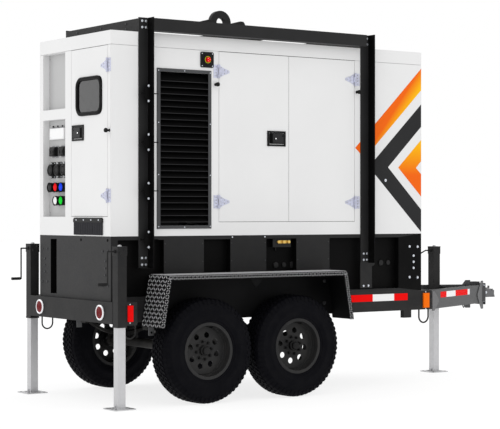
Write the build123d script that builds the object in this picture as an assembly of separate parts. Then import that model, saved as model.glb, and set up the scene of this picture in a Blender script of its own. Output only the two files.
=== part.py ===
"""Towable diesel generator: a sound-proof genset housing on a fuel-tank base,
in a bolted lifting cage, on a tandem-axle trailer with three screw jacks.

Modelled with X forward (towards the hitch), Y to the left and Z up.  While the
pieces are built, X = 0 is the rear face of the housing, Y = 0 the centre plane
and Z = 0 the ground.  Every piece is moved along X at the end, so that the
origin lies at the middle of the overall length.
"""
from build123d import *
from math import hypot
import os

os.makedirs("parts", exist_ok=True)

# ---------------------------------------------------------------- driving sizes
HOUSING_LENGTH = 3070.0
HOUSING_WIDTH = 1126.0
HOUSING_HEIGHT = 1550.0
TANK_HEIGHT = 488.0
RAIL_HEIGHT = 164.0
RAIL_CLEARANCE = 631.0        # ground to the underside of the rails
SHEET = 5.0                   # housing sheet, folded
PLATE = 8.0                   # structural plate and section walls
GAP = 3.0                     # gap round doors and loose panels
FACE = 0.3                    # gap between curved faces of neighbouring pieces

HALF = HOUSING_WIDTH / 2
RAIL_TOP = RAIL_CLEARANCE + RAIL_HEIGHT
BASE = RAIL_TOP + TANK_HEIGHT             # underside of the housing
ROOF_TOP = BASE + HOUSING_HEIGHT
ROOF_SKIRT = 107.0
WALL_TOP = ROOF_TOP - ROOF_SKIRT

# wheels and axles
TYRE_RADIUS = 405.0
TYRE_WIDTH = 235.0
AXLE_REAR = 727.0
AXLE_SPACING = 850.0
TYRE_TO_RAIL = 20.0
WHEEL_Y = HALF + TYRE_TO_RAIL + TYRE_WIDTH / 2
RIM_RADIUS = 219.0
BEAD_RADIUS = 203.0
RIM_HALF = 98.0
DISC_SET = 76.0               # wheel disc behind the outer rim edge
HUB_RADIUS = 38.0
BOLT_CIRCLE = 82.55
HAND_HOLE_CIRCLE = 122.0
HAND_HOLE = 23.5
HUB_BARREL = 60.0
WHEEL_TURNS = {"rear": 36.5, "front": 31.5}   # degrees, as the wheels came to rest
WHEEL_BOLTS = 8
SPINDLE = 25.0
SPINDLE_OUT = RIM_HALF - DISC_SET + 14     # spindle end, from the middle of the wheel
RUNNING = 0.05                # radial running clearance
AXLES = (AXLE_REAR, AXLE_REAR + AXLE_SPACING)

# fenders
FENDER_TOP = 992.0
FENDER_BOTTOM = 599.0
FENDER_OUT = HALF + 280.0
FENDER_LIP = 38.0
FENDER_REAR = AXLE_REAR - 397.0
FENDER_FRONT = AXLE_REAR + AXLE_SPACING + 465.0
FENDER_SLOPE = 66.0

# doors and openings in the side walls
DOOR_START = 976.0
DOOR_END = HOUSING_LENGTH - 730.0
DOOR_SILL = BASE + 105.0
DOOR_DEPTH = 25.0
HINGE_R = 7.0
HINGE_OUT = 9.0               # hinge pin outside the skin
HINGE_HEIGHT = 102.0
HINGE_STRAP = 100.0
HINGE_LEAF = 40.0
STRAP_THICK = 3.0
LOUVRE_X = (405.0, 903.0)
LOUVRE_Z = (BASE + 55.0, BASE + 1285.0)
LOUVRE_EDGE = 25.0
LOUVRE_BLADES = 24
LATCH_SIZE = (138.0, 84.0)    # paddle length and height
LATCH_INSET = 124.0           # paddle centre from the free edge of its door
LATCH_Z = BASE + 773.0
REAR_LATCH_INSET = 107.0
REAR_LATCH_Z = BASE + 796.0
LATCH_OUT = 6.0
STOP_INSET = 113.0            # emergency stop, from the door edge
STOP_HEIGHT = 1370.0
STOP_SIZE = 122.0

# rear wall
COLUMN_EDGE = 55.0
RECESS_WIDTH = 364.0
RECESS_DEPTH = 55.0
RECESS_UP = (BASE + 997.0, BASE + 1439.0)
RECESS_LOW = (BASE + 147.0, BASE + 915.0)
REAR_DOOR_EDGE = 50.0
REAR_DOOR_POST = 101.0        # post between the rear door and the recesses
REAR_DOOR_SILL = BASE + 152.0
WINDOW_Z = (BASE + 926.0, BASE + 1218.0)
WINDOW_INSET = 78.0           # from the edges of the door
WINDOW_CORNER = 50.0
CURTAIN_Y = (-(HALF - 114.0), -(HALF - 556.0))
CURTAIN_Z = (BASE + 8.0, BASE + 140.0)

# base tank
TANK_LIP = 29.0
TANK_FOOT = 27.0
POCKET = 60.0

# lifting cage
POST_REAR = 240.0
POST_FRONT = HOUSING_LENGTH - 671.0
POST_LEG = 88.0
POST_WALL = 8.0
BEAM_LOW = ROOF_TOP + 7.0
BEAM_HEIGHT = 95.0
POST_TOP = ROOF_TOP + 110.0
POST_FOOT = BASE - 240.0
EYE_RADIUS = 100.0
EYE_HOLE = 42.0
EYE_THICK = 40.0
EYE_Z = ROOF_TOP + 193.0
BRACKET_PITCH = 369.0
BRACKET_FIRST = BASE - 25.0

# jacks
JACK_TUBE = 76.2
JACK_WALL = 4.8
LEG_TUBE = 64.0
LEG_WALL = 4.0
LEG_ENGAGED = 92.0            # leg length inside the tube when fully out
JACK_REAR_TOP = BASE - 73.0
JACK_REAR_LOW = BASE - 675.0
JACK_FRONT_TOP = BASE - 131.0
JACK_HEAD = 82.0
JACK_HEAD_H = 68.0
JACK_OUT = 129.0              # rear jack centres outside the housing
PAD = 180.0
PAD_THICK = 8.0
CRANK_ARM = 244.0
CRANK_ROD = 6.0
CRANK_REACH = 72.0
GRIP_LENGTH = 78.0
GRIP_RADIUS = 11.0
CRANK_DROP = 36.0             # crank shaft below the top of the tube
FRONT_CRANK_TILT = 67.0       # degrees from hanging straight down

# frame, tongue and hitch
RAIL_FLANGE = 50.0
RAIL_WALL = 8.0
BUMPER_REAR = -40.0
BUMPER_FRONT = 44.0
TONGUE_START = HOUSING_LENGTH + 120.0
TONGUE_END = TONGUE_START + 1057.0
TONGUE_END_HALF = 78.0
CHANNEL_HALF = 50.0
CHANNEL_DEPTH = 48.0
COUPLER_HALF = 37.0
COUPLER_Z = (678.0, 754.0)
COUPLER_NOSE = 152.0          # from the front of the channel
BALL_RADIUS = 29.4
FRONT_JACK_X = TONGUE_START + 646.0
FRONT_JACK_Y = 135.0
LOOP_DROP = 113.0
FRONT_LOOP_X = HOUSING_LENGTH + 48.0
REAR_LOOP_X = 113.0
REAR_LOOP_Y = -HALF - 88.0
LAMP_RADIUS = 59.0
LAMP_Y = HALF - 84.0
LAMP_Z = RAIL_CLEARANCE + RAIL_HEIGHT / 2 - 2.0

CHANNEL_X = TONGUE_END + PLATE
LATCH_PIN_X = CHANNEL_X + CHANNEL_DEPTH + 14
LATCH_PIN_UP = 9.0
COUPLER_FRONT = CHANNEL_X + CHANNEL_DEPTH + COUPLER_NOSE
REARMOST = -JACK_TUBE / 2 - CRANK_REACH - GRIP_LENGTH
X_MIDDLE = (REARMOST + COUPLER_FRONT) / 2

PIECES = {}


# ------------------------------------------------------------------- small tools
def block(x0, x1, y0, y1, z0, z1):
    """Box between two values on each axis."""
    size = Box(abs(x1 - x0), abs(y1 - y0), abs(z1 - z0))
    return Pos((x0 + x1) / 2, (y0 + y1) / 2, (z0 + z1) / 2) * size


def rod_x(x0, x1, y, z, r):
    return Pos((x0 + x1) / 2, y, z) * Rot(0, 90, 0) * Cylinder(r, abs(x1 - x0))


def rod_y(y0, y1, x, z, r):
    return Pos(x, (y0 + y1) / 2, z) * Rot(90, 0, 0) * Cylinder(r, abs(y1 - y0))


def rod_z(z0, z1, x, y, r):
    return Pos(x, y, (z0 + z1) / 2) * Cylinder(r, abs(z1 - z0))


def outline(points, to_3d):
    return make_face(Polyline(*[to_3d(*p) for p in points], close=True))


def prism_xz(points, y0, y1):
    """Outline in X and Z, carried from y0 to y1."""
    face = outline(points, lambda a, b: (a, y0, b))
    return extrude(face, amount=abs(y1 - y0), dir=(0, 1 if y1 > y0 else -1, 0))


def prism_xy(points, z0, z1):
    face = outline(points, lambda a, b: (a, b, z0))
    return extrude(face, amount=z1 - z0, dir=(0, 0, 1))


def prism_yz(points, x0, x1):
    face = outline(points, lambda a, b: (x0, a, b))
    return extrude(face, amount=x1 - x0, dir=(1, 0, 0))


def other_side(shape):
    """The same piece on the left-hand side."""
    return mirror(shape, about=Plane.XZ)


def both_sides(*shapes):
    return list(shapes) + [other_side(s) for s in shapes]


def as_solids(shapes):
    found = []
    for shape in shapes:
        found.extend(shape.solids())
    return found


def node(name, *shapes):
    """Keep a piece, or a group of like pieces, under its name."""
    PIECES[name] = as_solids(shapes)


# ------------------------------------------------------------------------- frame
def channel_along_x(x0, x1, side):
    """Rail with its web outside and its flanges turned in."""
    outer = side * HALF
    inner = side * (HALF - RAIL_FLANGE)
    rail = block(x0, x1, outer, inner, RAIL_CLEARANCE, RAIL_TOP)
    hollow = block(x0 - 1, x1 + 1, outer - side * RAIL_WALL, inner - side,
                   RAIL_CLEARANCE + RAIL_WALL, RAIL_TOP - RAIL_WALL)
    return rail - hollow


TONGUE_SLOPE = (HALF - TONGUE_END_HALF) / (TONGUE_END - TONGUE_START)


def tongue_y(x, inset):
    """Half width of the tongue at x, inset square to the rail's web."""
    return HALF - TONGUE_SLOPE * (x - TONGUE_START) - inset * hypot(1, TONGUE_SLOPE)


def tongue_strip(inset0, inset1, z0, z1):
    points = [(TONGUE_START, tongue_y(TONGUE_START, inset0)),
              (TONGUE_END, tongue_y(TONGUE_END, inset0)),
              (TONGUE_END, tongue_y(TONGUE_END, inset1)),
              (TONGUE_START, tongue_y(TONGUE_START, inset1))]
    return prism_xy(points, z0, z1)


def tongue_rail():
    web = tongue_strip(0, RAIL_WALL, RAIL_CLEARANCE, RAIL_TOP)
    low = tongue_strip(0, RAIL_FLANGE, RAIL_CLEARANCE, RAIL_CLEARANCE + RAIL_WALL)
    top = tongue_strip(0, RAIL_FLANGE, RAIL_TOP - RAIL_WALL, RAIL_TOP)
    return web + low + top


def u_loop(width, drop, r):
    """Round bar bent to a U, hanging in the XZ plane from z = 0."""
    half = width / 2
    straight = drop - half
    legs = [rod_z(-straight, 0, side * half, 0, r) for side in (-1, 1)]
    bend = Pos(0, 0, -straight) * Rot(90, 0, 0) * Torus(half, r)
    bend &= block(-width, width, -width, width, -2 * width, -straight)
    return legs[0] + legs[1] + bend


def chassis():
    rails = [channel_along_x(BUMPER_FRONT, TONGUE_START, side) for side in (-1, 1)]
    left = tongue_rail()
    rails += [left, other_side(left)]

    inner = HALF - RAIL_FLANGE
    places = (BUMPER_FRONT, POST_REAR + 60, AXLE_REAR + AXLE_SPACING / 2,
              FENDER_FRONT, POST_FRONT, TONGUE_START - 60)
    members = [block(x, x + 60, -inner, inner, RAIL_CLEARANCE, RAIL_TOP)
               - block(x + 6, x + 61, -inner - 1, inner + 1, RAIL_CLEARANCE + 6, RAIL_TOP - 6)
               for x in places]
    x0 = FRONT_JACK_X + JACK_TUBE / 2
    x1 = x0 + PLATE
    jack_plate = prism_xy([(x0, tongue_y(x0, RAIL_WALL)), (x1, tongue_y(x1, RAIL_WALL)),
                           (x1, -tongue_y(x1, RAIL_WALL)), (x0, -tongue_y(x0, RAIL_WALL))],
                          RAIL_CLEARANCE + RAIL_WALL, RAIL_TOP - RAIL_WALL)

    loop_y = -(HALF - RAIL_FLANGE / 2)
    front_loop = Pos(FRONT_LOOP_X, loop_y, RAIL_CLEARANCE) * u_loop(105, LOOP_DROP, 7)
    shelf = block(REAR_LOOP_X - 62, REAR_LOOP_X + 62, REAR_LOOP_Y - 14, -HALF,
                  RAIL_CLEARANCE, RAIL_CLEARANCE + RAIL_WALL)
    rear_loop = Pos(REAR_LOOP_X, REAR_LOOP_Y, RAIL_CLEARANCE + 1) * u_loop(96, LOOP_DROP, 6)
    pocket = block(HOUSING_LENGTH - 193, HOUSING_LENGTH - 109, -HALF + 2, -HALF + 46,
                   RAIL_CLEARANCE - 64, RAIL_CLEARANCE)
    pocket -= block(HOUSING_LENGTH - 185, HOUSING_LENGTH - 117, -HALF + 10, -HALF + 38,
                    RAIL_CLEARANCE - 65, RAIL_CLEARANCE + 1)
    loops = both_sides(front_loop, pocket, shelf + rear_loop)
    node("trailer_frame", *rails, *members, jack_plate, *loops)


def rear_bumper():
    end = HALF + JACK_OUT - JACK_TUBE / 2
    wing = end + JACK_TUBE + 2
    beam = block(BUMPER_REAR, BUMPER_FRONT, -end, end, RAIL_CLEARANCE, RAIL_TOP)
    beam -= block(BUMPER_REAR + 6, BUMPER_FRONT + 1, -end - 1, end + 1,
                  RAIL_CLEARANCE + 6, RAIL_TOP - 6)
    tube_front = JACK_TUBE / 2
    for side in (-1, 1):
        beam += block(tube_front, BUMPER_FRONT, side * (HALF + 10), side * wing,
                      RAIL_CLEARANCE, RAIL_TOP)
        beam += block(tube_front, 128, side * (wing - 6), side * wing,
                      RAIL_CLEARANCE - 8, RAIL_TOP)
        lamp_hole = rod_x(BUMPER_REAR - 1, BUMPER_REAR + 7, side * LAMP_Y, LAMP_Z,
                          LAMP_RADIUS - 8)
        beam -= lamp_hole
    node("rear_bumper", beam)

    tail = []
    for side in (-1, 1):
        ring = rod_x(BUMPER_REAR - 8, BUMPER_REAR, side * LAMP_Y, LAMP_Z, LAMP_RADIUS)
        can = rod_x(BUMPER_REAR, BUMPER_REAR + 34, side * LAMP_Y, LAMP_Z, LAMP_RADIUS - 9)
        tail.append(ring + can)
    wing_face = wing
    red = block(44, 89, -wing_face - 12, -wing_face, LAMP_Z - 60, LAMP_Z + 60)
    amber = block(HOUSING_LENGTH + 18, HOUSING_LENGTH + 84, -HALF - 12, -HALF,
                  RAIL_CLEARANCE + 16, RAIL_CLEARANCE + 141)
    node("lamps", *tail, *both_sides(red, amber))


def hitch():
    z0 = RAIL_CLEARANCE - 15
    z1 = RAIL_TOP + 15
    wide = TONGUE_END_HALF + 26
    end_plate = block(TONGUE_END, CHANNEL_X, -wide, wide, z0, z1)
    channel = block(CHANNEL_X, CHANNEL_X + CHANNEL_DEPTH, -CHANNEL_HALF, CHANNEL_HALF, z0, z1)
    channel -= block(CHANNEL_X + PLATE, CHANNEL_X + CHANNEL_DEPTH + 1, -CHANNEL_HALF + PLATE,
                     CHANNEL_HALF - PLATE, z0 - 1, z1 + 1)
    for step in range(-1, 2):
        z = (z0 + z1) / 2 + 52 * step
        channel -= rod_y(-CHANNEL_HALF - 1, CHANNEL_HALF + 1,
                         CHANNEL_X + CHANNEL_DEPTH * 0.6, z, 8.5)
    x0 = TONGUE_END - 50
    gusset = prism_xy([(x0, tongue_y(x0, 0)), (TONGUE_END, TONGUE_END_HALF),
                       (TONGUE_END, wide)], z0 + 30, z1 - 30)
    top_box = block(TONGUE_END - 70, TONGUE_END, -34, 34, RAIL_TOP, RAIL_TOP + 30)
    node("hitch_channel", end_plate + channel + gusset + other_side(gusset) + top_box)

    low, high = COUPLER_Z
    tail = block(CHANNEL_X + PLATE, CHANNEL_X + CHANNEL_DEPTH + 10, -CHANNEL_HALF + PLATE,
                 CHANNEL_HALF - PLATE, low, high)
    centre = COUPLER_FRONT - COUPLER_HALF - 6
    body = block(CHANNEL_X + CHANNEL_DEPTH, centre, -COUPLER_HALF, COUPLER_HALF, low, high)
    nose = rod_z(low, high - 12, centre, 0, COUPLER_HALF)
    lip = rod_z(low, low + 6, centre, 0, COUPLER_HALF + 6)
    ball = Pos(centre, 0, low + 22) * Sphere(BALL_RADIUS)
    mouth = rod_z(low - 1, low + 22, centre, 0, BALL_RADIUS)
    pin_x = LATCH_PIN_X
    pin_z = high + LATCH_PIN_UP
    lugs = [block(pin_x - 10, pin_x + 10, side * 12, side * 18, high - 1, pin_z + 9)
            for side in (-1, 1)]
    pin = rod_y(-18, 18, pin_x, pin_z, 3)
    node("coupler", tail + body + nose + lip + lugs[0] + lugs[1] + pin - ball - mouth)

    lever = block(pin_x, centre - 20, -11, 11, high + 3, high + 11)
    lever += rod_y(-11, 11, pin_x, pin_z, 8)
    lever += block(centre - 26, centre - 20, -11, 11, high + 3, high + 28)
    node("coupler_latch", lever - rod_y(-12, 12, pin_x, pin_z, 3 + RUNNING))


# ------------------------------------------------------------------------- jacks
def jack_places():
    """Name, x, y, tube top and tube bottom of each jack."""
    out = HALF + JACK_OUT
    return (("rear_right", 0.0, -out, JACK_REAR_TOP, JACK_REAR_LOW),
            ("rear_left", 0.0, out, JACK_REAR_TOP, JACK_REAR_LOW),
            ("front", FRONT_JACK_X, FRONT_JACK_Y, JACK_FRONT_TOP, RAIL_CLEARANCE))


def square_tube(x, y, z0, z1, size, wall):
    half = size / 2
    inner = half - wall
    tube = block(x - half, x + half, y - half, y + half, z0, z1)
    return tube - block(x - inner, x + inner, y - inner, y + inner, z0 - 1, z1 + 1)


def crank(x, y, z, tilt):
    """Bent crank on a shaft that points backwards, its arm tilted about the shaft."""
    arm_x = x - JACK_TUBE / 2 - CRANK_REACH + CRANK_ROD
    shaft = rod_x(arm_x, x - JACK_TUBE / 2 + JACK_WALL + 2, 0, 0, CRANK_ROD)
    elbows = Pos(arm_x, 0, 0) * Sphere(CRANK_ROD) + Pos(arm_x, 0, -CRANK_ARM) * Sphere(CRANK_ROD)
    arm = rod_z(-CRANK_ARM, 0, arm_x, 0, CRANK_ROD)
    grip = rod_x(REARMOST + x, arm_x - CRANK_ROD, 0, -CRANK_ARM, GRIP_RADIUS)
    stub = rod_x(arm_x - CRANK_ROD - 1, arm_x, 0, -CRANK_ARM, CRANK_ROD)
    whole = shaft + elbows + arm + grip + stub
    return Pos(0, y, z) * Rot(tilt, 0, 0) * whole


def jacks():
    tubes = []
    for name, x, y, top, low in jack_places():
        head = JACK_HEAD / 2
        tube = square_tube(x, y, low, top, JACK_TUBE, JACK_WALL)
        collar = block(x - head, x + head, y - head, y + head, top - JACK_HEAD_H, top)
        collar -= block(x - 33, x + 33, y - 33, y + 33, top - JACK_HEAD_H - 1, top - 8)
        shaft_hole = rod_x(x - head - 1, x, y, top - CRANK_DROP, CRANK_ROD + RUNNING)
        tubes.append(tube + collar - shaft_hole)

        half = LEG_TUBE / 2
        leg = square_tube(x, y, PAD_THICK, low + LEG_ENGAGED, LEG_TUBE, LEG_WALL)
        pad = block(x - PAD / 2, x + PAD / 2, y - PAD / 2, y + PAD / 2, 0, PAD_THICK)
        rib = block(x - half - 10, x + half + 10, y - 3, y + 3, PAD_THICK, PAD_THICK + 22)
        node("jack_leg_" + name, leg + pad + rib)

        tilt = FRONT_CRANK_TILT if name == "front" else 0.0
        node("jack_crank_" + name, crank(x, y, top - CRANK_DROP, tilt))
    node("jack_tubes", *tubes)


# ------------------------------------------------------------------------ wheels
def revolved(points):
    """Outline in radius and axial distance, turned round Z."""
    face = outline(points, lambda r, a: (r, 0, a))
    return revolve(face, axis=Axis.Z)


def rim():
    seat = BEAD_RADIUS - FACE
    well = seat - 7
    h = RIM_HALF
    barrel = revolved([(well, -h), (RIM_RADIUS, -h), (RIM_RADIUS, -h + 5), (seat, -h + 5),
                       (seat, h - 5), (RIM_RADIUS, h - 5), (RIM_RADIUS, h), (well, h)])
    face = h - DISC_SET
    disc = revolved([(HUB_RADIUS + FACE, face - 8), (176, face - 8), (182, face - 20),
                     (well + 1, face - 20), (well + 1, face - 12), (188, face - 8),
                     (182, face), (HUB_RADIUS + FACE, face)])
    whole = barrel + disc
    for i in range(WHEEL_BOLTS):
        turn = Rot(0, 0, 360 / WHEEL_BOLTS * (i + 0.5))
        whole -= turn * Pos(HAND_HOLE_CIRCLE, 0, face - 10) * Cylinder(HAND_HOLE, 60)
    for i in range(WHEEL_BOLTS):
        turn = Rot(0, 0, 360 / WHEEL_BOLTS * i)
        whole -= turn * Pos(BOLT_CIRCLE - 14, 0, face - 10) * Cylinder(7.5, 60)
    return whole


def hub():
    face = RIM_HALF - DISC_SET
    back = face - 8
    inboard = -60.0
    body = revolved([(0, inboard), (HUB_BARREL, inboard), (HUB_BARREL, back - 14),
                     (90, back - 14), (90, back), (HUB_RADIUS, back), (HUB_RADIUS, face + 26),
                     (HUB_RADIUS - 7, face + 30), (HUB_RADIUS - 7, face + 50),
                     (HUB_RADIUS - 13, face + 56), (0, face + 56)])
    bore = revolved([(0, inboard - 1), (SPINDLE + RUNNING, inboard - 1),
                     (SPINDLE + RUNNING, face + 20), (0, face + 20)])
    return body - bore


def wheel_nuts():
    face = RIM_HALF - DISC_SET
    nut = extrude(RegularPolygon(12, 6), amount=20) + Pos(0, 0, 20) * Cylinder(7, 16)
    places = [Rot(0, 0, 360 / WHEEL_BOLTS * i) * Pos(BOLT_CIRCLE - 14, 0, face)
              for i in range(WHEEL_BOLTS)]
    return [place * nut for place in places]


def tyre():
    side = TYRE_WIDTH / 2
    low = BEAD_RADIUS
    bead = RIM_HALF - 5 - FACE
    wall = 13.0
    shoulder = TYRE_RADIUS - 12
    rows = [Line((low, -bead), (low, bead)),
            Line((low, bead), (RIM_RADIUS + 3, bead)),
            ThreePointArc((RIM_RADIUS + 3, bead), (low + 98, side), (shoulder, side - 22)),
            ThreePointArc((shoulder, side - 22), (TYRE_RADIUS, 0), (shoulder, -side + 22)),
            ThreePointArc((shoulder, -side + 22), (low + 98, -side), (RIM_RADIUS + 3, -bead)),
            Line((RIM_RADIUS + 3, -bead), (low, -bead))]
    inner = [Line((low - 1, bead - wall), (RIM_RADIUS, bead - wall)),
             ThreePointArc((RIM_RADIUS, bead - wall), (low + 98, side - wall),
                           (shoulder - wall, side - 26 - wall)),
             ThreePointArc((shoulder - wall, side - 26 - wall), (TYRE_RADIUS - wall - 5, 0),
                           (shoulder - wall, -side + 26 + wall)),
             ThreePointArc((shoulder - wall, -side + 26 + wall), (low + 98, -side + wall),
                           (RIM_RADIUS, -bead + wall)),
             Line((RIM_RADIUS, -bead + wall), (low - 1, -bead + wall)),
             Line((low - 1, -bead + wall), (low - 1, bead - wall))]
    section = make_face(rows) - make_face(inner)
    standing = Plane(origin=(0, 0, 0), x_dir=(1, 0, 0), z_dir=(0, -1, 0))
    return revolve(standing * section, axis=Axis.Z)


def wheels():
    rolled = rim()
    centre = hub()
    nuts = wheel_nuts()
    casing = tyre()
    for end, x in zip(("rear", "front"), AXLES):
        for side_name, side in (("right", -1), ("left", 1)):
            place = Pos(x, side * WHEEL_Y, TYRE_RADIUS) * Rot(-90 * side, 0, 0)
            name = end + "_" + side_name
            turned = place * Rot(0, 0, side * WHEEL_TURNS[end])
            node("wheel_" + name, turned * rolled, place * centre, *[turned * n for n in nuts])
            node("tyre_" + name, place * casing)


def suspension():
    end = WHEEL_Y - 64.0
    beams = []
    for x in AXLES:
        beam = rod_y(-end, end, x, TYRE_RADIUS, HUB_RADIUS)
        for side in (-1, 1):
            beam += rod_y(side * end, side * (WHEEL_Y + SPINDLE_OUT), x, TYRE_RADIUS, SPINDLE)
            beam += rod_y(side * (end - 4), side * end, x, TYRE_RADIUS, HUB_BARREL)
        beams.append(beam)
    node("axles", *beams)

    y0 = HALF - 110.0
    y1 = y0 + 60.0
    eye_z = RAIL_CLEARANCE - 42
    seat = TYRE_RADIUS + HUB_RADIUS + 9
    reach = AXLE_SPACING / 2 - 95
    pieces = []
    for x in AXLES:
        low = ThreePointArc((x - reach, eye_z - 12), (x, seat), (x + reach, eye_z - 12))
        top = ThreePointArc((x + reach, eye_z + 12), (x, seat + 26), (x - reach, eye_z + 12))
        ends = [Line(low @ 1, top @ 0), Line(top @ 1, low @ 0)]
        face = make_face([low, top] + ends)
        upright = Plane(origin=(0, y1, 0), x_dir=(1, 0, 0), z_dir=(0, -1, 0))
        pieces.append(extrude(upright * face, amount=y1 - y0))
        pieces.append(block(x - 45, x + 45, y0, y1, TYRE_RADIUS + HUB_RADIUS, seat))
    mid = (AXLES[0] + AXLES[1]) / 2
    pieces.append(block(mid - 94, mid + 94, y0 + 10, y1 - 10, eye_z - 14, eye_z + 14))
    for x in (AXLES[0] - reach - 24, AXLES[1] + reach + 24):
        pieces.append(block(x - 23, x + 23, y0 - 6, y1 + 6, eye_z - 25, RAIL_CLEARANCE))
    node("leaf_springs", *both_sides(*pieces))


def fenders():
    """Flat-topped fender with sloped ends, a turned lip and an inner skirt."""
    t = SHEET
    inner = HALF + 3
    slope = FENDER_SLOPE
    outer = [(FENDER_REAR - slope, FENDER_BOTTOM), (FENDER_REAR, FENDER_TOP),
             (FENDER_FRONT, FENDER_TOP), (FENDER_FRONT + slope, FENDER_BOTTOM)]
    under = [(FENDER_FRONT + slope - t, FENDER_BOTTOM), (FENDER_FRONT - t, FENDER_TOP - t),
             (FENDER_REAR + t, FENDER_TOP - t), (FENDER_REAR - slope + t, FENDER_BOTTOM)]
    lip = [(FENDER_FRONT + slope - FENDER_LIP, FENDER_BOTTOM),
           (FENDER_FRONT - FENDER_LIP, FENDER_TOP - FENDER_LIP),
           (FENDER_REAR + FENDER_LIP, FENDER_TOP - FENDER_LIP),
           (FENDER_REAR - slope + FENDER_LIP, FENDER_BOTTOM)]
    shell = prism_xz(outer + under, inner, FENDER_OUT)
    shell += prism_xz(outer + lip, FENDER_OUT - t, FENDER_OUT)
    skirt_low = RAIL_CLEARANCE + 8
    skirt = [(FENDER_REAR - slope + 8, skirt_low), (FENDER_REAR + 2, FENDER_TOP - 2),
             (FENDER_FRONT - 2, FENDER_TOP - 2), (FENDER_FRONT + slope - 8, skirt_low)]
    shell += prism_xz(skirt, inner, inner + 4)
    mid = (AXLES[0] + AXLES[1]) / 2
    stay = [(mid - 70, FENDER_TOP - 4), (mid + 110, FENDER_TOP - 4), (mid + 10, FENDER_TOP - 110)]
    shell += prism_xz(stay, FENDER_OUT - 40, FENDER_OUT - 34)
    node("fenders", shell, other_side(shell))


# --------------------------------------------------------------------- base tank
def base_tank():
    inner = HALF - POCKET
    z0 = RAIL_TOP
    z1 = BASE
    body = block(POCKET, HOUSING_LENGTH - 1, -inner, inner, z0, z1)
    body += block(0, HOUSING_LENGTH, -HALF, HALF, z1 - TANK_LIP, z1)
    body += block(0, HOUSING_LENGTH, -HALF, HALF, z0, z0 + TANK_FOOT)
    front = HOUSING_LENGTH - 253
    panels = ((469, 836), (1087, 1434), (1735, 2074), (front, HOUSING_LENGTH))
    for x0, x1 in panels:
        for side in (-1, 1):
            body += block(x0, x1, side * inner, side * HALF, z0, z1)
    body += block(0, POCKET, -HALF, HALF - 279, z0, z1)
    body += block(0, POCKET, HALF - 180, HALF, z0, z1)
    cavity = block(POCKET + SHEET, HOUSING_LENGTH - SHEET - 1, -inner + SHEET, inner - SHEET,
                   z0 + SHEET, z1 - SHEET)
    for x0, x1 in panels:
        cavity += block(x0 + SHEET, min(x1 - SHEET, HOUSING_LENGTH - SHEET - 1),
                        -HALF + SHEET, HALF - SHEET, z0 + SHEET, z1 - SHEET)
    filler = rod_z(z1 - SHEET - 1, z1 + 1, POST_REAR + 300, inner - 120, 45)
    body -= cavity + filler
    mid = z0 + TANK_HEIGHT / 2
    ports = [(HOUSING_LENGTH - 498, 27), (HOUSING_LENGTH - 404, 24), (HOUSING_LENGTH - 325, 21)]
    ports += [(1568, 24), (1650, 20), (1733, 25)]
    for x, r in ports:
        for side in (-1, 1):
            body += rod_y(side * inner, side * (inner + 8), x, mid, r)
    port_z = BASE - 57
    body += block(1511, 1690, -inner - 44, -inner, port_z - 42, port_z + 25)
    for x in (1564, 1614, 1665):
        body += rod_y(-inner - 58, -inner - 44, x, port_z, 12)
    node("base_tank", body)


# ----------------------------------------------------------------------- housing
def side_wall():
    y0 = -HALF
    y1 = y0 + SHEET
    wall = block(0, HOUSING_LENGTH, y0, y1, BASE, WALL_TOP - 1)
    wall -= block(DOOR_START, DOOR_END, y0 - 1, y1 + 1, DOOR_SILL, WALL_TOP)
    lx0, lx1 = LOUVRE_X
    lz0, lz1 = LOUVRE_Z
    e = LOUVRE_EDGE
    wall -= block(lx0 + e, lx1 - e, y0 - 1, y1 + 1, lz0 + e, lz1 - e)
    return wall


def louvre():
    y0 = -HALF - 6
    y1 = -HALF
    lx0, lx1 = LOUVRE_X
    lz0, lz1 = LOUVRE_Z
    e = LOUVRE_EDGE
    frame = block(lx0, lx1, y0, y1, lz0, lz1)
    frame -= block(lx0 + e, lx1 - e, y0 - 1, y1 + 1, lz0 + e, lz1 - e)
    pitch = (lz1 - lz0 - 2 * e) / LOUVRE_BLADES
    for i in range(LOUVRE_BLADES - 1):
        z = lz0 + e + pitch * (i + 0.5)
        blade = [(y0, z), (y0, z + 5), (y0 + 44, z + pitch + 9), (y0 + 44, z + pitch + 4)]
        frame += prism_yz(blade, lx0 + e, lx1 - e)
    for x in (lx0 + e, lx1 - e - 4):
        frame += block(x, x + 4, y0, y0 + 48, lz0 + e, lz1 - e)
    return frame


def strap(x_pin, direction, z):
    """Tapered hinge strap lying on a door skin, with its knuckle at the pin."""
    y1 = -HALF - 0.2
    y0 = y1 - STRAP_THICK
    h = HINGE_HEIGHT / 2
    x0 = x_pin + direction * (HINGE_R + 2)
    points = [(x0, z - h + 4), (x0, z + h - 4), (x0 + direction * 34, z + h * 0.55),
              (x_pin + direction * HINGE_STRAP, z + 9), (x_pin + direction * HINGE_STRAP, z - 9),
              (x0 + direction * 34, z - h * 0.55)]
    leaf = prism_xz(points, y0, y1)
    pin_y = -HALF - HINGE_OUT
    knuckle = rod_z(z - h * 0.45, z + h * 0.45, x_pin, pin_y, HINGE_R)
    tie = block(x_pin, x0 + direction, pin_y - 2, pin_y + 2, z - h * 0.45, z + h * 0.45)
    web = block(x0, x0 + direction * 4, pin_y - 2, y1, z - h * 0.45, z + h * 0.45)
    return leaf + knuckle + tie + web


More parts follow.
